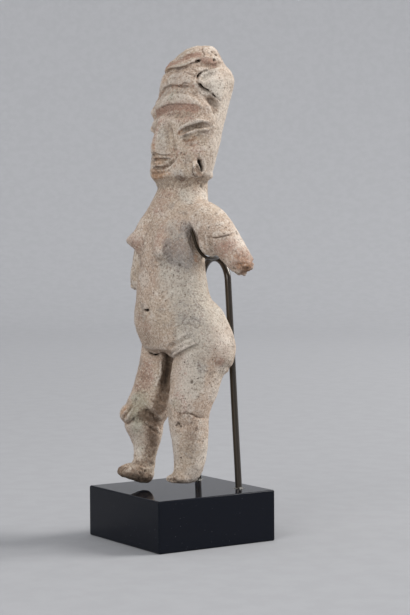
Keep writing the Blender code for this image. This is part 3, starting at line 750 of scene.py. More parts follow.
def strew_pores():
    draw = random.Random(PORE_SEED)
    tree = KDTree(len(clay.points))
    for number, point in enumerate(clay.points):
        tree.insert(Vector(point), number)
    tree.balance()
    for _ in range(PORES):
        centre = clay.points[draw.randrange(len(clay.points))]
        if draw.random() < POROUS_SHARE:
            middle, reach = draw.choice(POROUS)
            guess = Vector(middle) + Vector([draw.uniform(-reach, reach) for _axis in range(3)])
            centre = tree.find(guess)[0]
        size = draw.random() ** 2
        radius = PORE_RADIUS[0] + size * (PORE_RADIUS[1] - PORE_RADIUS[0])
        depth = PORE_DEPTH[0] + size * (PORE_DEPTH[1] - PORE_DEPTH[0])
        sink_pit(tree, centre, radius, depth, draw.uniform(*PORE_DIRT))
    for centre, radius, depth in SINGLE_PITS:
        sink_pit(tree, tree.find(Vector(centre))[0], radius, depth, PIT_DIRT)


def roughen():
    for centre, reach, amount in ROUGH_PLACES:
        away = np.linalg.norm(clay.points - np.array(centre), axis=1) / reach
        where = np.flatnonzero(away < 1)
        rough = clay.noise_at(ROUGH_GRAIN, where, seed=3.0)
        rough += 0.5 * clay.noise_at(ROUGH_FINE_GRAIN, where, seed=8.0)
        clay.push(amount * (rough - ROUGH_MIDDLE) * (1 - away[where] ** 2), where)


strew_pores()
clay.read_normals()
roughen()
clay.read_normals()
print("pores sunk:", PORES + len(SINGLE_PITS))


# %% [markdown]
# Stains
#
# The body is warm buff, but fire, soil and iron have coloured it: pink and red-brown where the headdress
# is sheltered and at the broken arm, grey on the side of the chest, ochre on the chin, a greenish bloom at
# the right knee, brown under the foot, and chalky and pale patches down the left side. Some patches are
# painted shade: brown and soil in the fork and inside the right leg behind its knee, brown under the jaw,
# under the headdress's flap, below the left eye and down the left shin, and ochre in the left armpit and
# below the left eye. The pale patches on the back of the head, the neck, the arm, the hip, the thigh and
# the heel lie where the key light falls and are partly paler clay, partly painted light. Each patch has a
# strength, a reach, and one point or a line of them. Soil also settles in every hollow, found by comparing
# the skin with a relaxed copy of itself, and worn edges, which stand out from that copy, are paler.

# %% Lay the stains
STAINS = {
    "pink": (
        (1.0, 5.5, (25.8, 4.6, 66.0)),
        (0.8, 5.0, (22.6, 1.0, 70.0)),
        (0.6, 3.8, (6.2, -11.6, 71.0), (6.0, -10.6, 75.4)),
        (0.6, 5.2, (-6.6, -11.6, 71.6)),
        (1.3, 1.7, (-5.0, -4.2, 109.9), (2.2, -5.1, 110.9), (8.1, -3.7, 111.0), (10.6, -1.0, 110.4)),
        (0.5, 4.0, (2.2, -5.1, 110.9), (8.1, -3.7, 111.0)),
        (1.4, 1.5, (-3.4, -1.6, 123.6), (0.2, -1.7, 124.4), (3.4, 0.9, 125.8), (6.1, 2.9, 126.5)),
        (1.0, 1.7, (8.0, 3.6, 124.8), (8.7, 5.1, 124.5), (8.9, 6.6, 123.8)),
        (1.5, 1.8, (-6.0, -0.6, 123.4), (-4.0, -0.8, 124.6)),
        (0.9, 0.9, (-5.0, -3.1, 115.2), (1.8, -3.7, 117.4), (8.9, -0.8, 117.2)),
        (0.7, 1.5, (0.4, -7.0, 107.6), (0.0, -8.4, 103.3), (0.2, -9.1, 100.0)),
        (0.45, 7.0, (2.0, -6.0, 84.0)),
        (0.55, 2.4, (19.5, 3.3, 40.8)),
        (0.8, 2.4, (18.6, 1.8, 37.4)),
        (0.3, 5.0, (18.4, 0.0, 46.0), (18.8, 1.0, 36.0)),
        (0.5, 5.0, (7.0, -5.0, 97.0), (10.0, -2.0, 98.0)),
        (0.45, 4.0, (3.0, -5.6, 108.6), (9.6, -3.0, 108.6)),
        (0.4, 5.0, (12.0, -8.0, 36.0), (13.0, -8.0, 26.0)),
        (0.6, 5.0, (-8.6, -7.0, 35.3), (-8.1, -8.0, 30.0)),
        (0.5, 4.0, (-20.6, -1.0, 61.0)),
        (0.5, 6.0, (-2.0, -11.6, 48.0)),
        (0.5, 3.0, (8.6, -3.0, 99.6)),
    ),
    "grey": (
        (1.0, 2.6, (9.2, -10.0, 71.6), (9.8, -10.0, 69.2), (9.8, -8.4, 66.8)),
        (0.9, 5.0, (10.6, -6.6, 70.2), (11.5, -5.0, 66.6)),
        (0.65, 3.0, (11.1, -5.0, 76.0), (11.3, -4.2, 72.5), (11.8, -3.2, 68.0)),
        (0.6, 4.4, (9.8, -7.6, 74.6), (10.6, -6.4, 71.4)),
        (0.5, 6.5, (13.0, -5.0, 53.0), (15.6, -4.6, 48.0)),
        (0.45, 3.0, (1.6, -7.0, 104.8), (2.4, -7.0, 100.2)),
        (0.4, 3.2, (7.6, -4.6, 91.4)),
        (0.3, 3.0, (16.4, -4.4, 39.6), (17.2, -2.8, 34.8)),
        (0.35, 3.0, (11.0, 5.0, 112.0)),
        (0.4, 3.0, (13.4, -6.4, 14.0)),
    ),
    "orange": (
        (0.85, 2.6, (-3.0, -7.6, 91.6), (1.6, -7.8, 91.4)),
        (0.5, 3.6, (3.0, -7.4, 91.6)),
        (0.7, 2.0, (-3.0, -7.6, 96.0), (2.0, -7.4, 95.6)),
        (0.6, 1.4, (-6.6, -0.8, 122.2), (-3.0, -2.4, 122.8), (0.9, -2.8, 123.4)),
        (0.6, 1.2, (-5.0, -3.1, 115.6), (1.8, -3.7, 117.6), (7.1, -2.0, 117.2)),
        (0.9, 1.1, (7.2, -4.4, 103.4), (9.8, -2.3, 104.8), (11.9, 0.8, 105.7)),
        # Painted shade: the ochre in the left armpit stands for the crease's shadow.
        (0.6, 1.6, (12.2, -1.6, 66.6), (12.6, -1.6, 71.0)),
        (0.7, 1.2, (0.2, -9.1, 100.0), (0.6, -8.4, 97.6)),
        (0.7, 2.2, (-9.8, -14.0, 21.6), (-8.0, -13.0, 23.6)),
        (0.5, 3.0, (-8.6, -14.6, 5.6)),
        (0.5, 2.4, (-1.6, -3.8, 119.6)),
        (0.8, 3.0, (24.8, 3.2, 67.0), (26.6, 5.0, 65.0)),
        # Painted shade in the hollow below the left eye.
        (0.6, 1.2, (8.2, -3.2, 101.4), (11.4, 0.6, 102.4)),
    ),
    "olive": (
        (0.6, 0.9, (-4.6, -2.4, 122.6), (0.8, -2.5, 123.4), (3.4, -1.9, 123.3), (5.6, -0.6, 123.9)),
        (1.0, 4.4, (-6.2, -11.2, 25.6), (-5.6, -11.0, 20.4)),
        (0.7, 3.5, (-6.4, -11.6, 17.0)),
        (0.5, 3.0, (11.2, -8.0, 25.0)),
        (0.35, 1.0, (3.8, -5.0, 39.2), (10.8, -7.2, 40.8)),
        (0.4, 3.6, (4.0, -4.4, 114.6)),
        (0.8, 0.8, (-3.0, -6.5, 95.1), (0.0, -7.6, 95.0), (4.7, -5.7, 95.3)),
        (0.5, 2.4, (-5.6, -11.0, 11.0)),
    ),
    "brown": (
        (1.6, 3.2, (-8.6, -17.0, 4.0), (-6.4, -14.6, 2.8), (-5.2, -11.4, 2.0), (-5.0, -8.9, 1.2)),
        (0.9, 4.6, (-5.0, -11.4, 4.4)),
        # Painted shade: this brown and the next darken the inside of the right leg and the back of its
        # knee, where the legs shade each other.
        (0.9, 3.0, (-3.7, -8.0, 17.9), (-4.4, -6.8, 13.3), (-4.8, -7.6, 7.0)),
        (1.0, 3.4, (-4.0, -9.6, 21.0), (-3.6, -7.0, 18.4)),
        (0.9, 1.6, (6.4, -9.2, 2.6), (8.4, -9.6, 3.0), (11.6, -7.0, 3.0)),
        # Painted shadow in the cleft between the thighs.
        (1.3, 2.8, (-1.4, -3.6, 38.2), (-2.2, -2.6, 34.0), (-2.6, -3.6, 29.0), (-3.2, -5.6, 22.6)),
        # Painted shade: the shadow under the jaw.
        (0.5, 2.6, (2.0, -6.6, 90.0), (7.6, -3.6, 89.8), (8.8, 1.6, 90.0)),
        (0.7, 1.4, (25.4, 3.0, 63.2), (26.4, 5.6, 63.4)),
        (0.4, 5.0, (-2.6, -11.6, 44.0)),
        (0.4, 4.0, (-9.6, -6.4, 34.0), (-8.4, -8.0, 28.0)),
        (0.5, 1.8, (8.8, 5.6, 122.8), (8.2, 2.2, 122.6)),
        # Painted shade under the headdress's flap.
        (0.5, 2.2, (11.4, 4.8, 110.8)),
        (0.6, 1.4, (12.6, -8.2, 21.8), (15.4, -4.6, 21.6)),
        # Painted shade: a vertical brown band down the middle of the left shin.
        (0.5, 2.6, (14.2, -5.2, 18.0), (13.6, -5.6, 12.0)),
        (0.5, 1.0, (7.2, -4.4, 103.5), (9.7, -2.4, 104.9), (11.9, 0.6, 105.8)),
        # Painted shade in the hollow below the left eye.
        (0.6, 1.2, (8.2, -3.2, 101.4), (10.2, -1.9, 101.7), (11.4, 0.6, 102.4)),
        (0.8, 1.0, (0.0, -8.0, 93.6), (3.4, -7.1, 93.7), (6.4, -5.0, 96.4)),
        (0.75, 2.8, (11.9, -0.8, 92.4)),
        # Painted shade under the headdress's flap.
        (0.9, 2.2, (10.8, 4.2, 113.0), (11.6, 5.2, 110.6)),
        (0.5, 1.0, (18.4, -2.0, 73.4), (22.4, 5.3, 74.5)),
    ),
    "soil_and_shade": (
        # Painted shade on the inside of the right leg behind its knee.
        (0.4, 2.6, (-3.8, -8.6, 21.6), (-3.4, -6.4, 18.6), (-4.2, -7.0, 13.0)),
        # Painted shadow down the cleft between the thighs.
        (0.75, 1.9, (0.2, -4.4, 38.0), (-0.2, -2.8, 35.4), (-0.8, -2.4, 32.0), (-1.6, -2.8, 28.0)),
    ),
    "chalk": (
        (1.2, 8.5, (10.0, -7.0, 62.4), (12.1, -4.8, 57.0), (13.8, -3.6, 51.0), (15.6, -4.7, 44.0)),
        (0.9, 7.0, (12.6, 2.0, 60.0), (16.0, 2.4, 50.0)),
        (1.0, 6.0, (15.4, -5.0, 40.0), (14.0, -6.4, 30.0)),
        (1.0, 4.0, (10.4, 3.6, 119.0), (11.0, 6.0, 116.0)),
        (0.9, 3.0, (1.2, -7.0, 104.0), (2.2, -6.8, 99.8)),
        (0.9, 4.0, (8.4, -2.0, 85.0)),
        (0.9, 4.0, (-6.6, -11.6, 17.0), (-6.8, -11.6, 11.0)),
        (0.8, 3.6, (3.0, -4.4, 120.0), (-3.0, -3.6, 113.6), (6.0, -3.4, 114.0)),
        (0.9, 2.8, (8.2, -8.4, 76.6), (9.6, -7.6, 73.8)),
    ),
    "pale": (
        # Partly painted light: these six pale patches on the back and left side of the head, neck, arm,
        # hip, heel and thigh lie where the key light falls, and are partly paler clay, partly its painted
        # brightness.
        (0.8, 7.0, (9.0, 8.0, 118.0), (10.4, 8.0, 106.0), (8.0, 6.0, 94.0)),
        (0.9, 3.8, (8.0, 3.0, 85.6)),
        (0.6, 5.0, (17.0, 6.0, 77.0), (24.0, 7.0, 71.0)),
        (0.8, 4.0, (14.2, 0.6, 12.0), (12.6, -2.4, 5.0)),
        (0.9, 7.0, (19.0, 3.4, 43.4)),
        (0.7, 4.0, (17.6, 3.0, 35.0), (17.4, 0.0, 28.0)),
        (0.75, 5.0, (13.0, -7.2, 36.0), (13.4, -7.5, 27.0)),
        (0.6, 3.6, (3.0, -6.0, 107.6)),
        (0.7, 3.4, (9.4, -8.0, 20.0), (8.6, -7.6, 10.0)),
        (0.9, 0.8, (6.7, -4.7, 103.9), (10.0, -2.8, 106.2), (11.9, -0.3, 106.9), (12.2, 3.9, 105.5)),
        (0.9, 0.6, (6.8, -4.3, 102.8), (9.7, -0.9, 104.0), (12.0, 3.5, 105.0)),
        (0.7, 0.8, (-5.0, -5.4, 96.1), (0.0, -7.4, 96.8), (5.0, -5.4, 96.1)),
        (0.7, 0.9, (-4.8, -0.9, 123.9), (0.1, 0.5, 126.2), (4.6, 3.6, 128.3)),
        (1.5, 1.0, (2.8, -4.8, 38.4), (7.0, -6.5, 39.6), (10.8, -7.2, 40.7), (14.0, -6.6, 42.0)),
        (0.7, 0.8, (10.0, 1.4, 115.8), (11.2, 4.8, 113.3), (11.8, 6.8, 112.0)),
        (0.6, 3.5, (-8.6, -13.0, 15.0), (-7.4, -11.6, 9.0)),
    ),
}
FINE_HOLLOW = (3, 0.05, 0.40)
WIDE_HOLLOW = (24, 0.26, 0.35)
WORN_EDGE = (10, 0.16, 0.75)
WORN_EDGE_START = 0.2


def lay_stains():
    for name, patches in STAINS.items():
        for strength, reach, *points in patches:
            clay.stain(name, strength, reach, points)
    for rounds, full, share in (FINE_HOLLOW, WIDE_HOLLOW):
        clay.mark("soil_and_shade", slice(None), share * np.clip(clay.sunk(rounds) / full, 0, 1))
    rounds, full, share = WORN_EDGE
    worn = -clay.sunk(rounds) / full - WORN_EDGE_START
    clay.mark("pale", slice(None), share * np.clip(worn, 0, 1))


lay_stains()
print("marks:", {name: round(float(values.mean()), 3) for name, values in clay.marks.items()})


# %% [markdown]
# Finishes as expressions
#
# A node material is maths done at each point of a surface. Written node by node it is long and hard to
# read, so one small class wraps a socket and lets Python's own operators add the Math nodes: 1 - mask, or
# grain * 0.5 + pores. A second class holds a material and has one method that makes any other node.

# %% Classes for finishes
class Signal:
    """A number, colour or vector that a material works out at each point."""

    def __init__(self, finish, socket):
        self.finish = finish
        self.socket = socket

    def maths(self, operation, first, second):
        return self.finish.node("ShaderNodeMath", {"operation": operation}, {0: first, 1: second})

    def __add__(self, other):
        return self.maths("ADD", self, other)

    def __radd__(self, other):
        return self.maths("ADD", other, self)

    def __sub__(self, other):
        return self.maths("SUBTRACT", self, other)

    def __rsub__(self, other):
        return self.maths("SUBTRACT", other, self)

    def __mul__(self, other):
        return self.maths("MULTIPLY", self, other)

    def __rmul__(self, other):
        return self.maths("MULTIPLY", other, self)

    def between(self, low, high):
        """A mask that rises smoothly from 0 at low to 1 at high."""
        return self.finish.node("ShaderNodeMapRange", {"interpolation_type": "SMOOTHSTEP"},
                                {"Value": self, "From Min": low, "From Max": high})


class Finish:
    """A material built on the Principled shader. Its keywords set the shader's own sockets."""

    def __init__(self, name, **constants):
        self.material = bpy.data.materials.new(name)
        self.material.use_nodes = True
        self.tree = self.material.node_tree
        self.shader = self.tree.nodes["Principled BSDF"]
        for socket, value in constants.items():
            self.shader.inputs[socket.replace("_", " ")].default_value = value
        self.where = self.node("ShaderNodeTexCoord", output="Object")

    def node(self, kind, settings=None, inputs=None, output=0):
        made = self.tree.nodes.new(kind)
        for setting, value in (settings or {}).items():
            setattr(made, setting, value)
        for socket, value in (inputs or {}).items():
            self.feed(made.inputs[socket], value)
        return Signal(self, made.outputs[output])

    def feed(self, socket, value):
        if isinstance(value, Signal):
            self.tree.links.new(value.socket, socket)
        else:
            socket.default_value = value

    def noise(self, size, detail=2.0, roughness=0.55, where=None):
        """Noise whose lumps are about this many metres apart, from 0 to 1 round a middle of 0.5."""
        return self.node("ShaderNodeTexNoise", {}, {"Vector": where or self.where, "Scale": 1 / size,
                                                    "Detail": detail, "Roughness": roughness})

    def cells(self, size):
        """Distance from the nearest of many strewn points, in cells of about this many metres."""
        return self.node("ShaderNodeTexVoronoi", {}, {"Vector": self.where, "Scale": 1 / size})

    def stretched(self, scale):
        """Object coordinates stretched along the axes."""
        return self.node("ShaderNodeMapping", {}, {"Vector": self.where, "Scale": scale})

    def moved(self, distance):
        """Object coordinates set off by a distance, for a second noise unlike the first."""
        return self.node("ShaderNodeVectorMath", {"operation": "ADD"}, {0: self.where, 1: (distance,) * 3})

    def mark(self, name):
        return self.node("ShaderNodeAttribute", {"attribute_name": name}, output="Fac")

    def blend(self, mask, under, over):
        return self.node("ShaderNodeMix", {"data_type": "RGBA"}, {0: mask, 6: under, 7: over}, 2)

    def bump(self, height, distance, strength=1.0):
        inputs = {"Height": height, "Distance": distance, "Strength": strength}
        self.feed(self.shader.inputs["Normal"], self.node("ShaderNodeBump", {}, inputs))

    def set(self, **sockets):
        for socket, value in sockets.items():
            self.feed(self.shader.inputs[socket.replace("_", " ")], value)


# %% [markdown]
# Fired clay
#
# The body colour wavers between buff and a pinker buff over a centimetre or two, and is mottled at half a
# millimetre by the grains in it. Then each mark is laid over with its own colour, broken up by noise so
# that no patch has a drawn edge; the brown and orange marks lay painted shade where the stains say so, and
# the pale mark partly painted light. Light, red and dark grains show through the marks too. Soil and
# painted shade go on last but for the dark grit, and at their strongest they turn to the near-black of
# painted shade inside deep holes and slits. Fine grain in the bump carries the surface on below the size
# of the mesh's faces.

# %% The clay's finish
BUFF = (0.500, 0.402, 0.310, 1)
PINK_BUFF = (0.470, 0.350, 0.272, 1)
PALE_CLAY = (0.680, 0.610, 0.530, 1)
CHALK = (0.495, 0.458, 0.395, 1)
RED_CLAY = (0.330, 0.180, 0.130, 1)
ASH_GREY = (0.222, 0.205, 0.197, 1)
OCHRE = (0.420, 0.225, 0.115, 1)
OLIVE = (0.300, 0.290, 0.215, 1)
UMBER = (0.160, 0.104, 0.068, 1)
# Dark soil brown, also used for painted shade in the fork and behind the right knee, and for dark grit.
SOIL_AND_SHADE_BROWN = (0.070, 0.048, 0.033, 1)
# Painted shade: the near-black inside the deepest holes, slits and pits.
HOLE_SHADE_BLACK = (0.012, 0.009, 0.007, 1)
LIGHT_GRAIN = (0.740, 0.670, 0.580, 1)
DARK_GRAIN = (0.165, 0.125, 0.098, 1)
RED_GRAIN = (0.340, 0.190, 0.130, 1)
GRAIN_SIZE = 0.56 * MM
FINE_GRAIN_SIZE = 0.34 * MM
FLECK_SIZE = 0.80 * MM
PATCH_SIZE = 5.0 * MM
CLOUD_SIZE = 16.0 * MM
# The brown and orange washes also lay painted shade, and the pale wash partly painted light, where the
# stains say so.
WASHES = (
    ("chalk", CHALK, 0.75),
    ("pale", PALE_CLAY, 0.8),
    ("grey", ASH_GREY, 0.7),
    ("pink", RED_CLAY, 0.7),
    ("orange", OCHRE, 0.75),
    ("olive", OLIVE, 0.7),
    ("brown", UMBER, 0.85),
)


def fired_clay():
    fired = Finish("fired_clay", Roughness=0.9, Specular_IOR_Level=0.2)
    grain = fired.noise(GRAIN_SIZE, 2.0, 0.62)
    fine = fired.noise(FINE_GRAIN_SIZE, 1.0, 0.5)
    flecks = fired.noise(FLECK_SIZE, 3.0, 0.7, where=fired.moved(0.031))
    patches = fired.noise(PATCH_SIZE, 4.0, 0.6)
    clouds = fired.noise(CLOUD_SIZE, 3.0, 0.5)
    colour = fired.blend(clouds.between(0.38, 0.62) * 0.7, BUFF, PINK_BUFF)
    colour = fired.blend(patches.between(0.50, 0.68) * 0.45, colour, PALE_CLAY)
    colour = fired.blend(patches.between(0.46, 0.30) * 0.40, colour, ASH_GREY)
    colour = fired.blend(grain.between(0.52, 0.64) * 0.38, colour, LIGHT_GRAIN)
    ragged = (patches - 0.5) * 1.8 + (flecks - 0.5) * 1.9
    for name, tint, most in WASHES:
        mark = fired.mark(name)
        mask = (mark + ragged * mark.between(0.0, 0.35)).between(0.12, 1.0) * most
        colour = fired.blend(mask, colour, tint)
    coarse = patches.between(0.35, 0.65)
    off_brown = 1 - fired.mark("brown") * 0.7
    light = grain.between(0.57, 0.67) * (0.18 + 0.20 * coarse) * off_brown
    colour = fired.blend(light, colour, LIGHT_GRAIN)
    colour = fired.blend(flecks.between(0.56, 0.67) * 0.34, colour, RED_GRAIN)
    colour = fired.blend(grain.between(0.46, 0.34) * (0.34 + 0.30 * coarse), colour, DARK_GRAIN)
    colour = fired.blend(fine.between(0.44, 0.32) * 0.30, colour, DARK_GRAIN)
    # The soil mark is real soil and, in the fork, behind the right knee and in deep holes and slits,
    # painted shade.
    soil_and_shade = fired.mark("soil_and_shade")
    colour = fired.blend((soil_and_shade * (0.55 + 0.9 * flecks)).between(0.10, 0.85) * 0.9, colour, SOIL_AND_SHADE_BROWN)
    # Where the soil mark is strongest, in deep holes and slits, the colour turns to painted black shade.
    colour = fired.blend(soil_and_shade.between(0.70, 0.92), colour, HOLE_SHADE_BLACK)
    specks = flecks.between(0.36, 0.30)
    colour = fired.blend(specks * 0.8, colour, SOIL_AND_SHADE_BROWN)
    fired.set(Base_Color=colour)
    fired.bump(grain * 0.6 + fine * 0.3 - specks * 0.6, 0.34 * MM, 1.0)
    return fired.material


figurine = place("clay_figure", clay.finished(), fired_clay())
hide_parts("figurine")
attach(figurine, "root")
print("clay_figure:", sum(len(face.vertices) - 2 for face in figurine.data.polygons), "triangles")


# %% [markdown]
# The block
#
# The plinth is a stock block of black acrylic with flame-polished edges. A cube from create_cube is scaled,
# its edges are rounded by the bevel operator, and each foot of the rod gets its blind hole by a Boolean.
# Weighted Normal keeps the big faces flat in the reflections although everything is shaded smooth.

# %% The rod's line, which the holes follow
ROD_DIAMETER = 2.0 * MM
ROD_CROWN_RADIUS = 7.0 * MM
ROD_FEET_APART = 22.2 * MM
ROD_LEAN_BACK = 0.8 * MM
HOLE_DEPTH = 8.0 * MM
GAP = 0.3 * MM

rod_radius = ROD_DIAMETER / 2
plinth_top = plinth_high.z
crown_z = rod_high.z - rod_radius
bend_z = crown_z - ROD_CROWN_RADIUS
crown_y = rod_low.y + rod_radius
leg_rise = bend_z - plinth_top
rod_lean = (math.acos(ROD_CROWN_RADIUS / math.hypot(ROD_FEET_APART / 2, leg_rise))
            - math.atan2(leg_rise, ROD_FEET_APART / 2))
bend_start_x = ROD_CROWN_RADIUS * math.cos(rod_lean)
bend_start_z = bend_z + ROD_CROWN_RADIUS * math.sin(rod_lean)
foot_z = plinth_top - HOLE_DEPTH
foot_x = ROD_FEET_APART / 2 + math.tan(rod_lean) * (plinth_top - foot_z)


def rod_y(z):
    """How far behind the middle the rod is at a height: it leans back a little towards its feet."""
    return crown_y + ROD_LEAN_BACK * (crown_z - z) / (crown_z - plinth_top)


print("rod leans", round(math.degrees(rod_lean), 2), "degrees; feet at", foot_x, rod_y(foot_z))

# %% The plinth's block
PLINTH_EDGE = 0.5 * MM
PLINTH_EDGE_STEPS = 6
HOLE_SIDES = 32
SHARP_ANGLE = math.radians(50)


def foot_way(side):
    """Where a leg of the rod ends, and the direction in which it rises from there."""
    top = Vector((side * bend_start_x, rod_y(bend_z), bend_start_z))
    foot = Vector((side * foot_x, rod_y(foot_z), foot_z))
    return foot, (top - foot).normalized()


def polished_block(finish):
    bm = bmesh.new()
    bmesh.ops.create_cube(bm, size=1)
    bmesh.ops.scale(bm, vec=plinth_high - plinth_low, verts=bm.verts)
    bmesh.ops.translate(bm, vec=(plinth_high + plinth_low) / 2, verts=bm.verts)
    round_edges(bm, bm.edges[:], PLINTH_EDGE, PLINTH_EDGE_STEPS)
    block = place("block", mesh_from(bm, "block"))
    drills = []
    for side in (-1, 1):
        foot, way = foot_way(side)
        length = 2 * (plinth_top - foot_z)
        bm = bmesh.new()
        bmesh.ops.create_cone(bm, cap_ends=True, segments=HOLE_SIDES, radius1=rod_radius + GAP,
                              radius2=rod_radius + GAP, depth=length)
        bmesh.ops.transform(bm, matrix=aimed(foot + way * (length / 2 - GAP), way), verts=bm.verts)
        drill = place("drill", mesh_from(bm, "drill"))
        cut = block.modifiers.new("foot hole", "BOOLEAN")
        cut.object = drill
        cut.operation = "DIFFERENCE"
        cut.solver = "EXACT"
        drills.append(drill)
    mesh = applied(block)
    for drill in drills:
        bpy.data.objects.remove(drill)
    mesh.shade_smooth()
    mesh.set_sharp_from_angle(angle=SHARP_ANGLE)
    made = place("plinth_block", mesh, finish)
    made.modifiers.new("flat faces", "WEIGHTED_NORMAL").keep_sharp = True
    return made


# %% [markdown]
# Black acrylic
#
# It is black all through and glossy, so it shows mostly what it reflects: at this low angle the top mirrors
# the backdrop, the rod and the foot. Its black is tinted blue, a painted reflection that gives the sides a
# bluish grey. What makes it real is slight: a haze of handling that roughens it here and there, hairlines
# from a cloth, and a little dust.

# %% The plinth's finish
# Painted reflection: the blue in this black stands for a bluish reflection on the block's sides.
ACRYLIC_BLACK_AND_BLUE_SHEEN = (0.0062, 0.0076, 0.0120, 1)
DUST = (0.16, 0.165, 0.18, 1)


def black_acrylic():
    black = Finish("polished_black", IOR=1.45, Specular_IOR_Level=0.16)
    haze = black.noise(7.0 * MM, 4.0, 0.6)
    hairlines = black.noise(1.0 * MM, 2.0, 0.5, where=black.stretched((0.06, 1.6, 1.0)))
    dust = black.cells(1.2 * MM).between(0.12, 0.05) * haze.between(0.42, 0.58)
    worn = 0.035 + haze.between(0.45, 0.75) * 0.05 + hairlines.between(0.66, 0.72) * 0.03
    black.set(Base_Color=black.blend(dust * 0.4, ACRYLIC_BLACK_AND_BLUE_SHEEN, DUST), Roughness=worn + dust * 0.4)
    return black.material


plinth = polished_block(black_acrylic())
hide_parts("plinth")
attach(plinth, "root")
print("plinth_block:", len(plinth.data.polygons), "faces")


# %% [markdown]
# The rod
#
# It is one brass rod bent over a former into an upside-down U. In bmesh that is how it is made too: a disc
# is extruded up one leg, spun round the bend's centre, and extruded down the other leg. A slight waviness
# in the legs keeps it from looking drawn by a ruler.

# %% Bend the rod
ROD_SIDES = 28
ROD_BEND_STEPS = 40
ROD_LEG_STEPS = 36
ROD_WAVE = 0.05 * MM
ROD_WAVE_LENGTH = 21 * MM
ROD_WAVE_START = 10 * MM
ROD_END_ROUNDING = 0.2 * MM
ROD_END_STEPS = 2


def bent_rod(finish):
    bm = bmesh.new()
    foot, _way = foot_way(1)
    flat_foot = Vector((foot.x, 0, foot.z))
    leg = Vector((bend_start_x, 0, bend_start_z)) - flat_foot
    bmesh.ops.create_circle(bm, cap_ends=True, segments=ROD_SIDES, radius=rod_radius,
                            matrix=aimed(flat_foot, leg))
    ring = bm.edges[:]

    def draw_out(step, times):
        nonlocal ring
        for _ in range(times):
            made = bmesh.ops.extrude_edge_only(bm, edges=ring)["geom"]
            verts = [item for item in made if isinstance(item, bmesh.types.BMVert)]
            ring = [item for item in made if isinstance(item, bmesh.types.BMEdge)]
            bmesh.ops.translate(bm, vec=step, verts=verts)

    draw_out(leg / ROD_LEG_STEPS, ROD_LEG_STEPS)
    bent = bmesh.ops.spin(bm, geom=ring, cent=(0, 0, bend_z), axis=(0, -1, 0), angle=math.pi - 2 * rod_lean,
                          steps=ROD_BEND_STEPS)["geom_last"]
    ring = [item for item in bent if isinstance(item, bmesh.types.BMEdge)]
    draw_out(Vector((leg.x, 0, -leg.z)) / ROD_LEG_STEPS, ROD_LEG_STEPS)
    bmesh.ops.contextual_create(bm, geom=ring)
    for vert in bm.verts:
        wave = noise.noise(Vector((math.copysign(9, vert.co.x), 0, vert.co.z / ROD_WAVE_LENGTH)))
        free = min(1, max(0, vert.co.z - plinth_top) / ROD_WAVE_START)
        vert.co.y += rod_y(vert.co.z) + ROD_WAVE * wave * free
    bmesh.ops.recalc_face_normals(bm, faces=bm.faces)
    rims = [edge for edge in bm.edges if any(len(face.verts) == ROD_SIDES for face in edge.link_faces)]
    round_edges(bm, rims, ROD_END_ROUNDING, ROD_END_STEPS)
    mesh = mesh_from(bm, "brass_rod")
    mesh.shade_smooth()
    return place("brass_rod", mesh, finish)


# %% [markdown]
# Dark brass
#
# The rod was darkened in a chemical bath, rubbed back with a cloth and lacquered. So it is dark brown with
# warmer brass where the rubbing went deeper, in streaks along its length, and it keeps enough gloss to
# show a bright edge against the backdrop. The wire was rubbed a little more and hardly lacquered.

# %% The brass's finish
BRASS_DARK = (0.038, 0.028, 0.018, 1)
BRASS_WARM = (0.240, 0.170, 0.075, 1)
BRASS_SPOT = (0.020, 0.016, 0.013, 1)


def dark_brass(name, rubbed, lacquer):
    brass = Finish(name, Metallic=0.9, Coat_Weight=lacquer, Coat_Roughness=0.12)
    streaks = brass.noise(1.1 * MM, 3.0, 0.6, where=brass.stretched((1.0, 1.0, 0.12)))
    blotches = brass.noise(2.6 * MM, 4.0, 0.65)
    bare = (streaks * 0.6 + blotches * 0.4).between(0.62 - rubbed, 0.82 - rubbed)
    colour = brass.blend(bare, BRASS_DARK, BRASS_WARM)
    colour = brass.blend(blotches.between(0.66, 0.78) * 0.8, colour, BRASS_SPOT)
    brass.set(Base_Color=colour, Roughness=0.24 + blotches * 0.16 + streaks.between(0.5, 0.8) * 0.1)
    brass.bump(streaks * 0.5 + blotches * 0.5, 0.03 * MM, 0.5)
    return brass.material


rod = bent_rod(dark_brass("dark_brass", rubbed=0.0, lacquer=0.8))
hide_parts("support_rod")
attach(rod, "root")
print("brass_rod:", len(rod.data.polygons), "faces")


# %% [markdown]
# The cradle wire
#
# A thin brass wire is soldered across the rod's crown. Each end goes forward under an arm and curls up in
# front of the armpit, where it holds the figure without touching it hard. It follows no rule but the
# figure's form, so it is a curve through listed points, pushed clear of the clay where it would
# bite, with a bevel for its thickness.

# %% Bend the wire
WIRE_DIAMETER = 0.9 * MM
WIRE_SIDES_STEP = 3
WIRE_STEPS = 7
WIRE_ROUNDS = 8
WIRE_EASING = 2
HOOK = (
    (6.0, 9.6, 67.2),
    (10.6, 6.0, 67.2),
    (12.9, 1.9, 67.4),
    (13.4, -0.6, 68.4),
    (12.9, -2.6, 71.4),
    (12.3, -3.3, 75.4),
)
crown = Vector((0, crown_y, crown_z))
wire_radius = WIRE_DIAMETER / 2
at_crown = crown - Vector((0, rod_radius + wire_radius + GAP / 2, 0))


def wire_path(figure):
    graph = bpy.context.evaluated_depsgraph_get()
    tree = BVHTree.FromObject(figure, graph)
    half = [Vector((x, y, z)) * MM + Vector((0, 0, figure_low.z)) for x, y, z in HOOK]
    points = [Vector((-p.x, p.y, p.z)) for p in reversed(half)] + [at_crown] + half
    path = []
    for row in through(points, WIRE_STEPS):
        point = Vector(row)
        for _ in range(WIRE_ROUNDS):
            nearest, normal, _face, apart = tree.find_nearest(point)
            inside = (point - nearest).dot(normal) < 0
            if apart >= wire_radius + GAP and not inside:
                break
            point = nearest + normal * (wire_radius + GAP * 1.05)
        path.append(point)
    return path


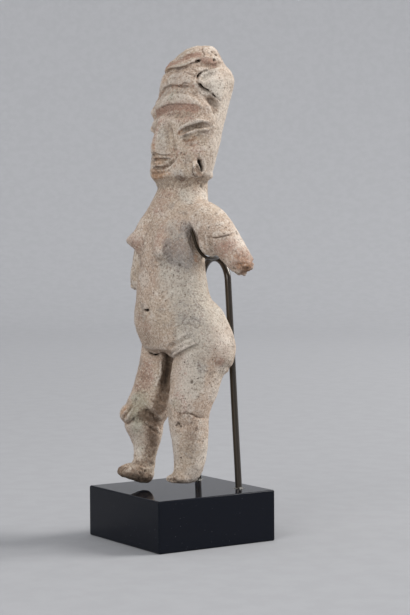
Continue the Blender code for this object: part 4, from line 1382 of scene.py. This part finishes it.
def eased(points, rounds):
    """The path with its small kinks taken out, its two ends held."""
    rows = np.array(points, float)
    for _ in range(rounds):
        rows[1:-1] = (rows[:-2] + 2 * rows[1:-1] + rows[2:]) / 4
    return rows


def cradle_wire(path, finish):
    data = bpy.data.curves.new("wire", "CURVE")
    data.dimensions = "3D"
    data.bevel_depth = wire_radius
    data.bevel_resolution = WIRE_SIDES_STEP
    data.use_fill_caps = True
    line = data.splines.new("POLY")
    line.points.add(len(path) - 1)
    for spot, point in zip(line.points, path):
        spot.co = (*point, 1)
    mesh = applied(place("wire", data))
    bm = bmesh.new()
    bm.from_mesh(mesh)
    bmesh.ops.remove_doubles(bm, verts=bm.verts, dist=WELD)
    bm.to_mesh(mesh)
    bm.free()
    mesh.shade_smooth()
    return place("brass_wire", mesh, finish)


wire_brass = dark_brass("wire_brass", rubbed=0.1, lacquer=0.2)
wire = cradle_wire(eased(wire_path(figurine), WIRE_EASING), wire_brass)
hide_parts("cradle_wire")
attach(wire, "root")
print("brass_wire:", len(wire.data.polygons), "faces")


# %% [markdown]
# Solder and glue
#
# The wire meets the crown in a small bead of solder, and each foot of the rod is set in clear glue that
# rose a little round it. The bead is an icosphere drawn out along the wire and pulled uneven. The glue is a
# small profile spun round the rod, thin and lumpy.

# %% Bead and rings
BEAD_SIZE = Vector((1.15, 0.95, 0.72)) * MM
BEAD_UNEVEN = 0.10
BEAD_LUMPS = 2.1
GLUE_REACH = 0.75 * MM
GLUE_RISE = 0.42 * MM
GLUE_OVERLAP = 0.05 * MM
GLUE_SUNK = 0.02 * MM
GLUE_STEPS = 40
GLUE_LUMPS = 1.3
GLUE_UNEVEN_REACH = 0.35
GLUE_UNEVEN_RISE = 0.5
SOLDER_GREY = (0.30, 0.27, 0.22, 1)
GLUE_TINT = (0.62, 0.60, 0.54, 1)


def solder_bead(finish):
    bm = bmesh.new()
    bmesh.ops.create_icosphere(bm, subdivisions=4, radius=1)
    for vert in bm.verts:
        vert.co *= 1 + BEAD_UNEVEN * noise.noise(vert.co * BEAD_LUMPS)
    bmesh.ops.scale(bm, vec=BEAD_SIZE, verts=bm.verts)
    bmesh.ops.translate(bm, vec=(crown + at_crown) / 2, verts=bm.verts)
    mesh = mesh_from(bm, "solder_bead")
    mesh.shade_smooth()
    return place("solder_bead", mesh, finish)


def glue_ring(name, side, finish):
    foot, way = foot_way(side)
    middle = foot + way * ((plinth_top - foot.z) / way.z)
    profile = (
        (rod_radius - GLUE_OVERLAP, GLUE_RISE),
        (rod_radius + 0.25 * GLUE_REACH, 0.45 * GLUE_RISE),
        (rod_radius + 0.65 * GLUE_REACH, 0.12 * GLUE_RISE),
        (rod_radius + GLUE_REACH, -GLUE_SUNK),
        (rod_radius - GLUE_OVERLAP, -GLUE_SUNK),
    )
    bm = spun(profile, GLUE_STEPS, WELD, closed=True)
    for vert in bm.verts:
        around = math.atan2(vert.co.y, vert.co.x)
        lumpy = noise.noise(Vector((math.cos(around), math.sin(around), side * 3)) * GLUE_LUMPS)
        outside = max(0, vert.co.xy.length - rod_radius) / GLUE_REACH
        vert.co.xy *= 1 + GLUE_UNEVEN_REACH * lumpy * outside
        if vert.co.z > 0:
            vert.co.z *= 1 + GLUE_UNEVEN_RISE * lumpy
    bmesh.ops.translate(bm, vec=middle, verts=bm.verts)
    mesh = mesh_from(bm, name)
    mesh.shade_smooth()
    return place(name, mesh, finish)


def solder():
    grey = Finish("solder", Metallic=1.0, Roughness=0.42)
    blotches = grey.noise(0.5 * MM, 3.0, 0.6)
    grey.set(Base_Color=grey.blend(blotches.between(0.35, 0.65), SOLDER_GREY, BRASS_DARK))
    grey.bump(blotches, 0.05 * MM, 0.6)
    return grey.material


def clear_glue():
    glue = Finish("clear_glue", Roughness=0.15, IOR=1.47, Alpha=0.45)
    cloudy = glue.noise(0.6 * MM, 3.0, 0.6)
    glue.set(Base_Color=glue.blend(cloudy.between(0.35, 0.65), GLUE_TINT, ACRYLIC_BLACK_AND_BLUE_SHEEN),
             Roughness=0.1 + cloudy * 0.2)
    return glue.material


glue = clear_glue()
trim = [(solder_bead(solder()), "dark_brass")]
for name, side in (("glue_ring_right", -1), ("glue_ring_left", 1)):
    trim.append((glue_ring(name, side, glue), "polished_black"))
for piece, slot in trim:
    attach(piece, "root")
print("trim:", [piece.name for piece, _slot in trim])


# %% [markdown]
# The studio
#
# The picture was taken on a pale grey sweep. Here the sweep is a bowl, so that every view has the same even
# ground: a profile of floor, cove and wall, spun once round. A large soft light stands at the right and a
# little behind, and rims the head, the arm and the hip. The pale bowl and a weak light from the front left
# fill the shadows. The camera doesn't see the lights themselves.

# %% Floor and lights
FLOOR_NEAR = 0.25
FLOOR_REACH = 1.1
COVE_RADIUS = 0.7
WALL_TOP = 1.1
COVE_STEPS = 16
BOWL_STEPS = 96
BOWL_WELD = 0.01 * MM
NEAR_GREY = (0.355, 0.358, 0.370, 1)
FAR_GREY = (0.475, 0.480, 0.495, 1)
GRADE_START = 0.2
GRADE_END = 1.5


def sweep():
    profile = [(0, 0), (FLOOR_NEAR, 0), (FLOOR_REACH, 0)]
    for turn in np.linspace(0, math.pi / 2, COVE_STEPS)[1:]:
        profile.append((FLOOR_REACH + COVE_RADIUS * math.sin(turn), COVE_RADIUS * (1 - math.cos(turn))))
    profile.append((FLOOR_REACH + COVE_RADIUS, WALL_TOP))
    bm = spun(profile, BOWL_STEPS, BOWL_WELD)
    bmesh.ops.reverse_faces(bm, faces=[face for face in bm.faces if face.normal.z < -0.001])
    bmesh.ops.translate(bm, vec=(0, 0, plinth_low.z), verts=bm.verts)
    mesh = mesh_from(bm, "sweep")
    mesh.shade_smooth()
    floor = place("sweep", mesh, graded_paper())
    return floor


def graded_paper():
    """Grey paper that grows paler away from the lights, so that all of it looks equally bright."""
    paper = Finish("sweep_paper", Roughness=0.95, Specular_IOR_Level=0.1)
    away = paper.node("ShaderNodeVectorMath", {"operation": "LENGTH"}, {0: paper.where}, output="Value")
    mottle = paper.noise(9.0 * MM, 3.0, 0.6)
    colour = paper.blend(away.between(GRADE_START, GRADE_END), NEAR_GREY, FAR_GREY)
    paper.set(Base_Color=paper.blend(mottle.between(0.35, 0.65) * 0.05, colour, (0.1, 0.1, 0.1, 1)))
    return paper.material


def soft_light(name, azimuth, elevation, distance, size, power, colour):
    """An area light that faces the figure. Its azimuth is measured from the camera's, to the right."""
    data = bpy.data.lights.new(name, "AREA")
    data.shape = "DISK"
    data.size = size
    data.energy = power
    data.color = colour
    light = place(name, data)
    light.visible_camera = False
    way = bearing(CAMERA_AZIMUTH + math.radians(azimuth), math.radians(elevation))
    light.matrix_world = aimed(CAMERA_AIM + way * distance, way)
    return light


WORLD_GREY = (0.84, 0.85, 0.88, 1)
WORLD_STRENGTH = 0.9


def daylight():
    world = bpy.data.worlds.new("studio")
    world.use_nodes = True
    background = world.node_tree.nodes["Background"]
    background.inputs["Color"].default_value = WORLD_GREY
    background.inputs["Strength"].default_value = WORLD_STRENGTH
    bpy.context.scene.world = world


sweep()
daylight()
soft_light("key", azimuth=100, elevation=36, distance=1.5, size=0.8, power=22.0, colour=(1.0, 0.985, 0.965))
soft_light("fill", azimuth=-25, elevation=25, distance=1.3, size=1.0, power=7.5, colour=(1.0, 0.995, 0.985))
bpy.context.scene.view_settings.view_transform = "Standard"
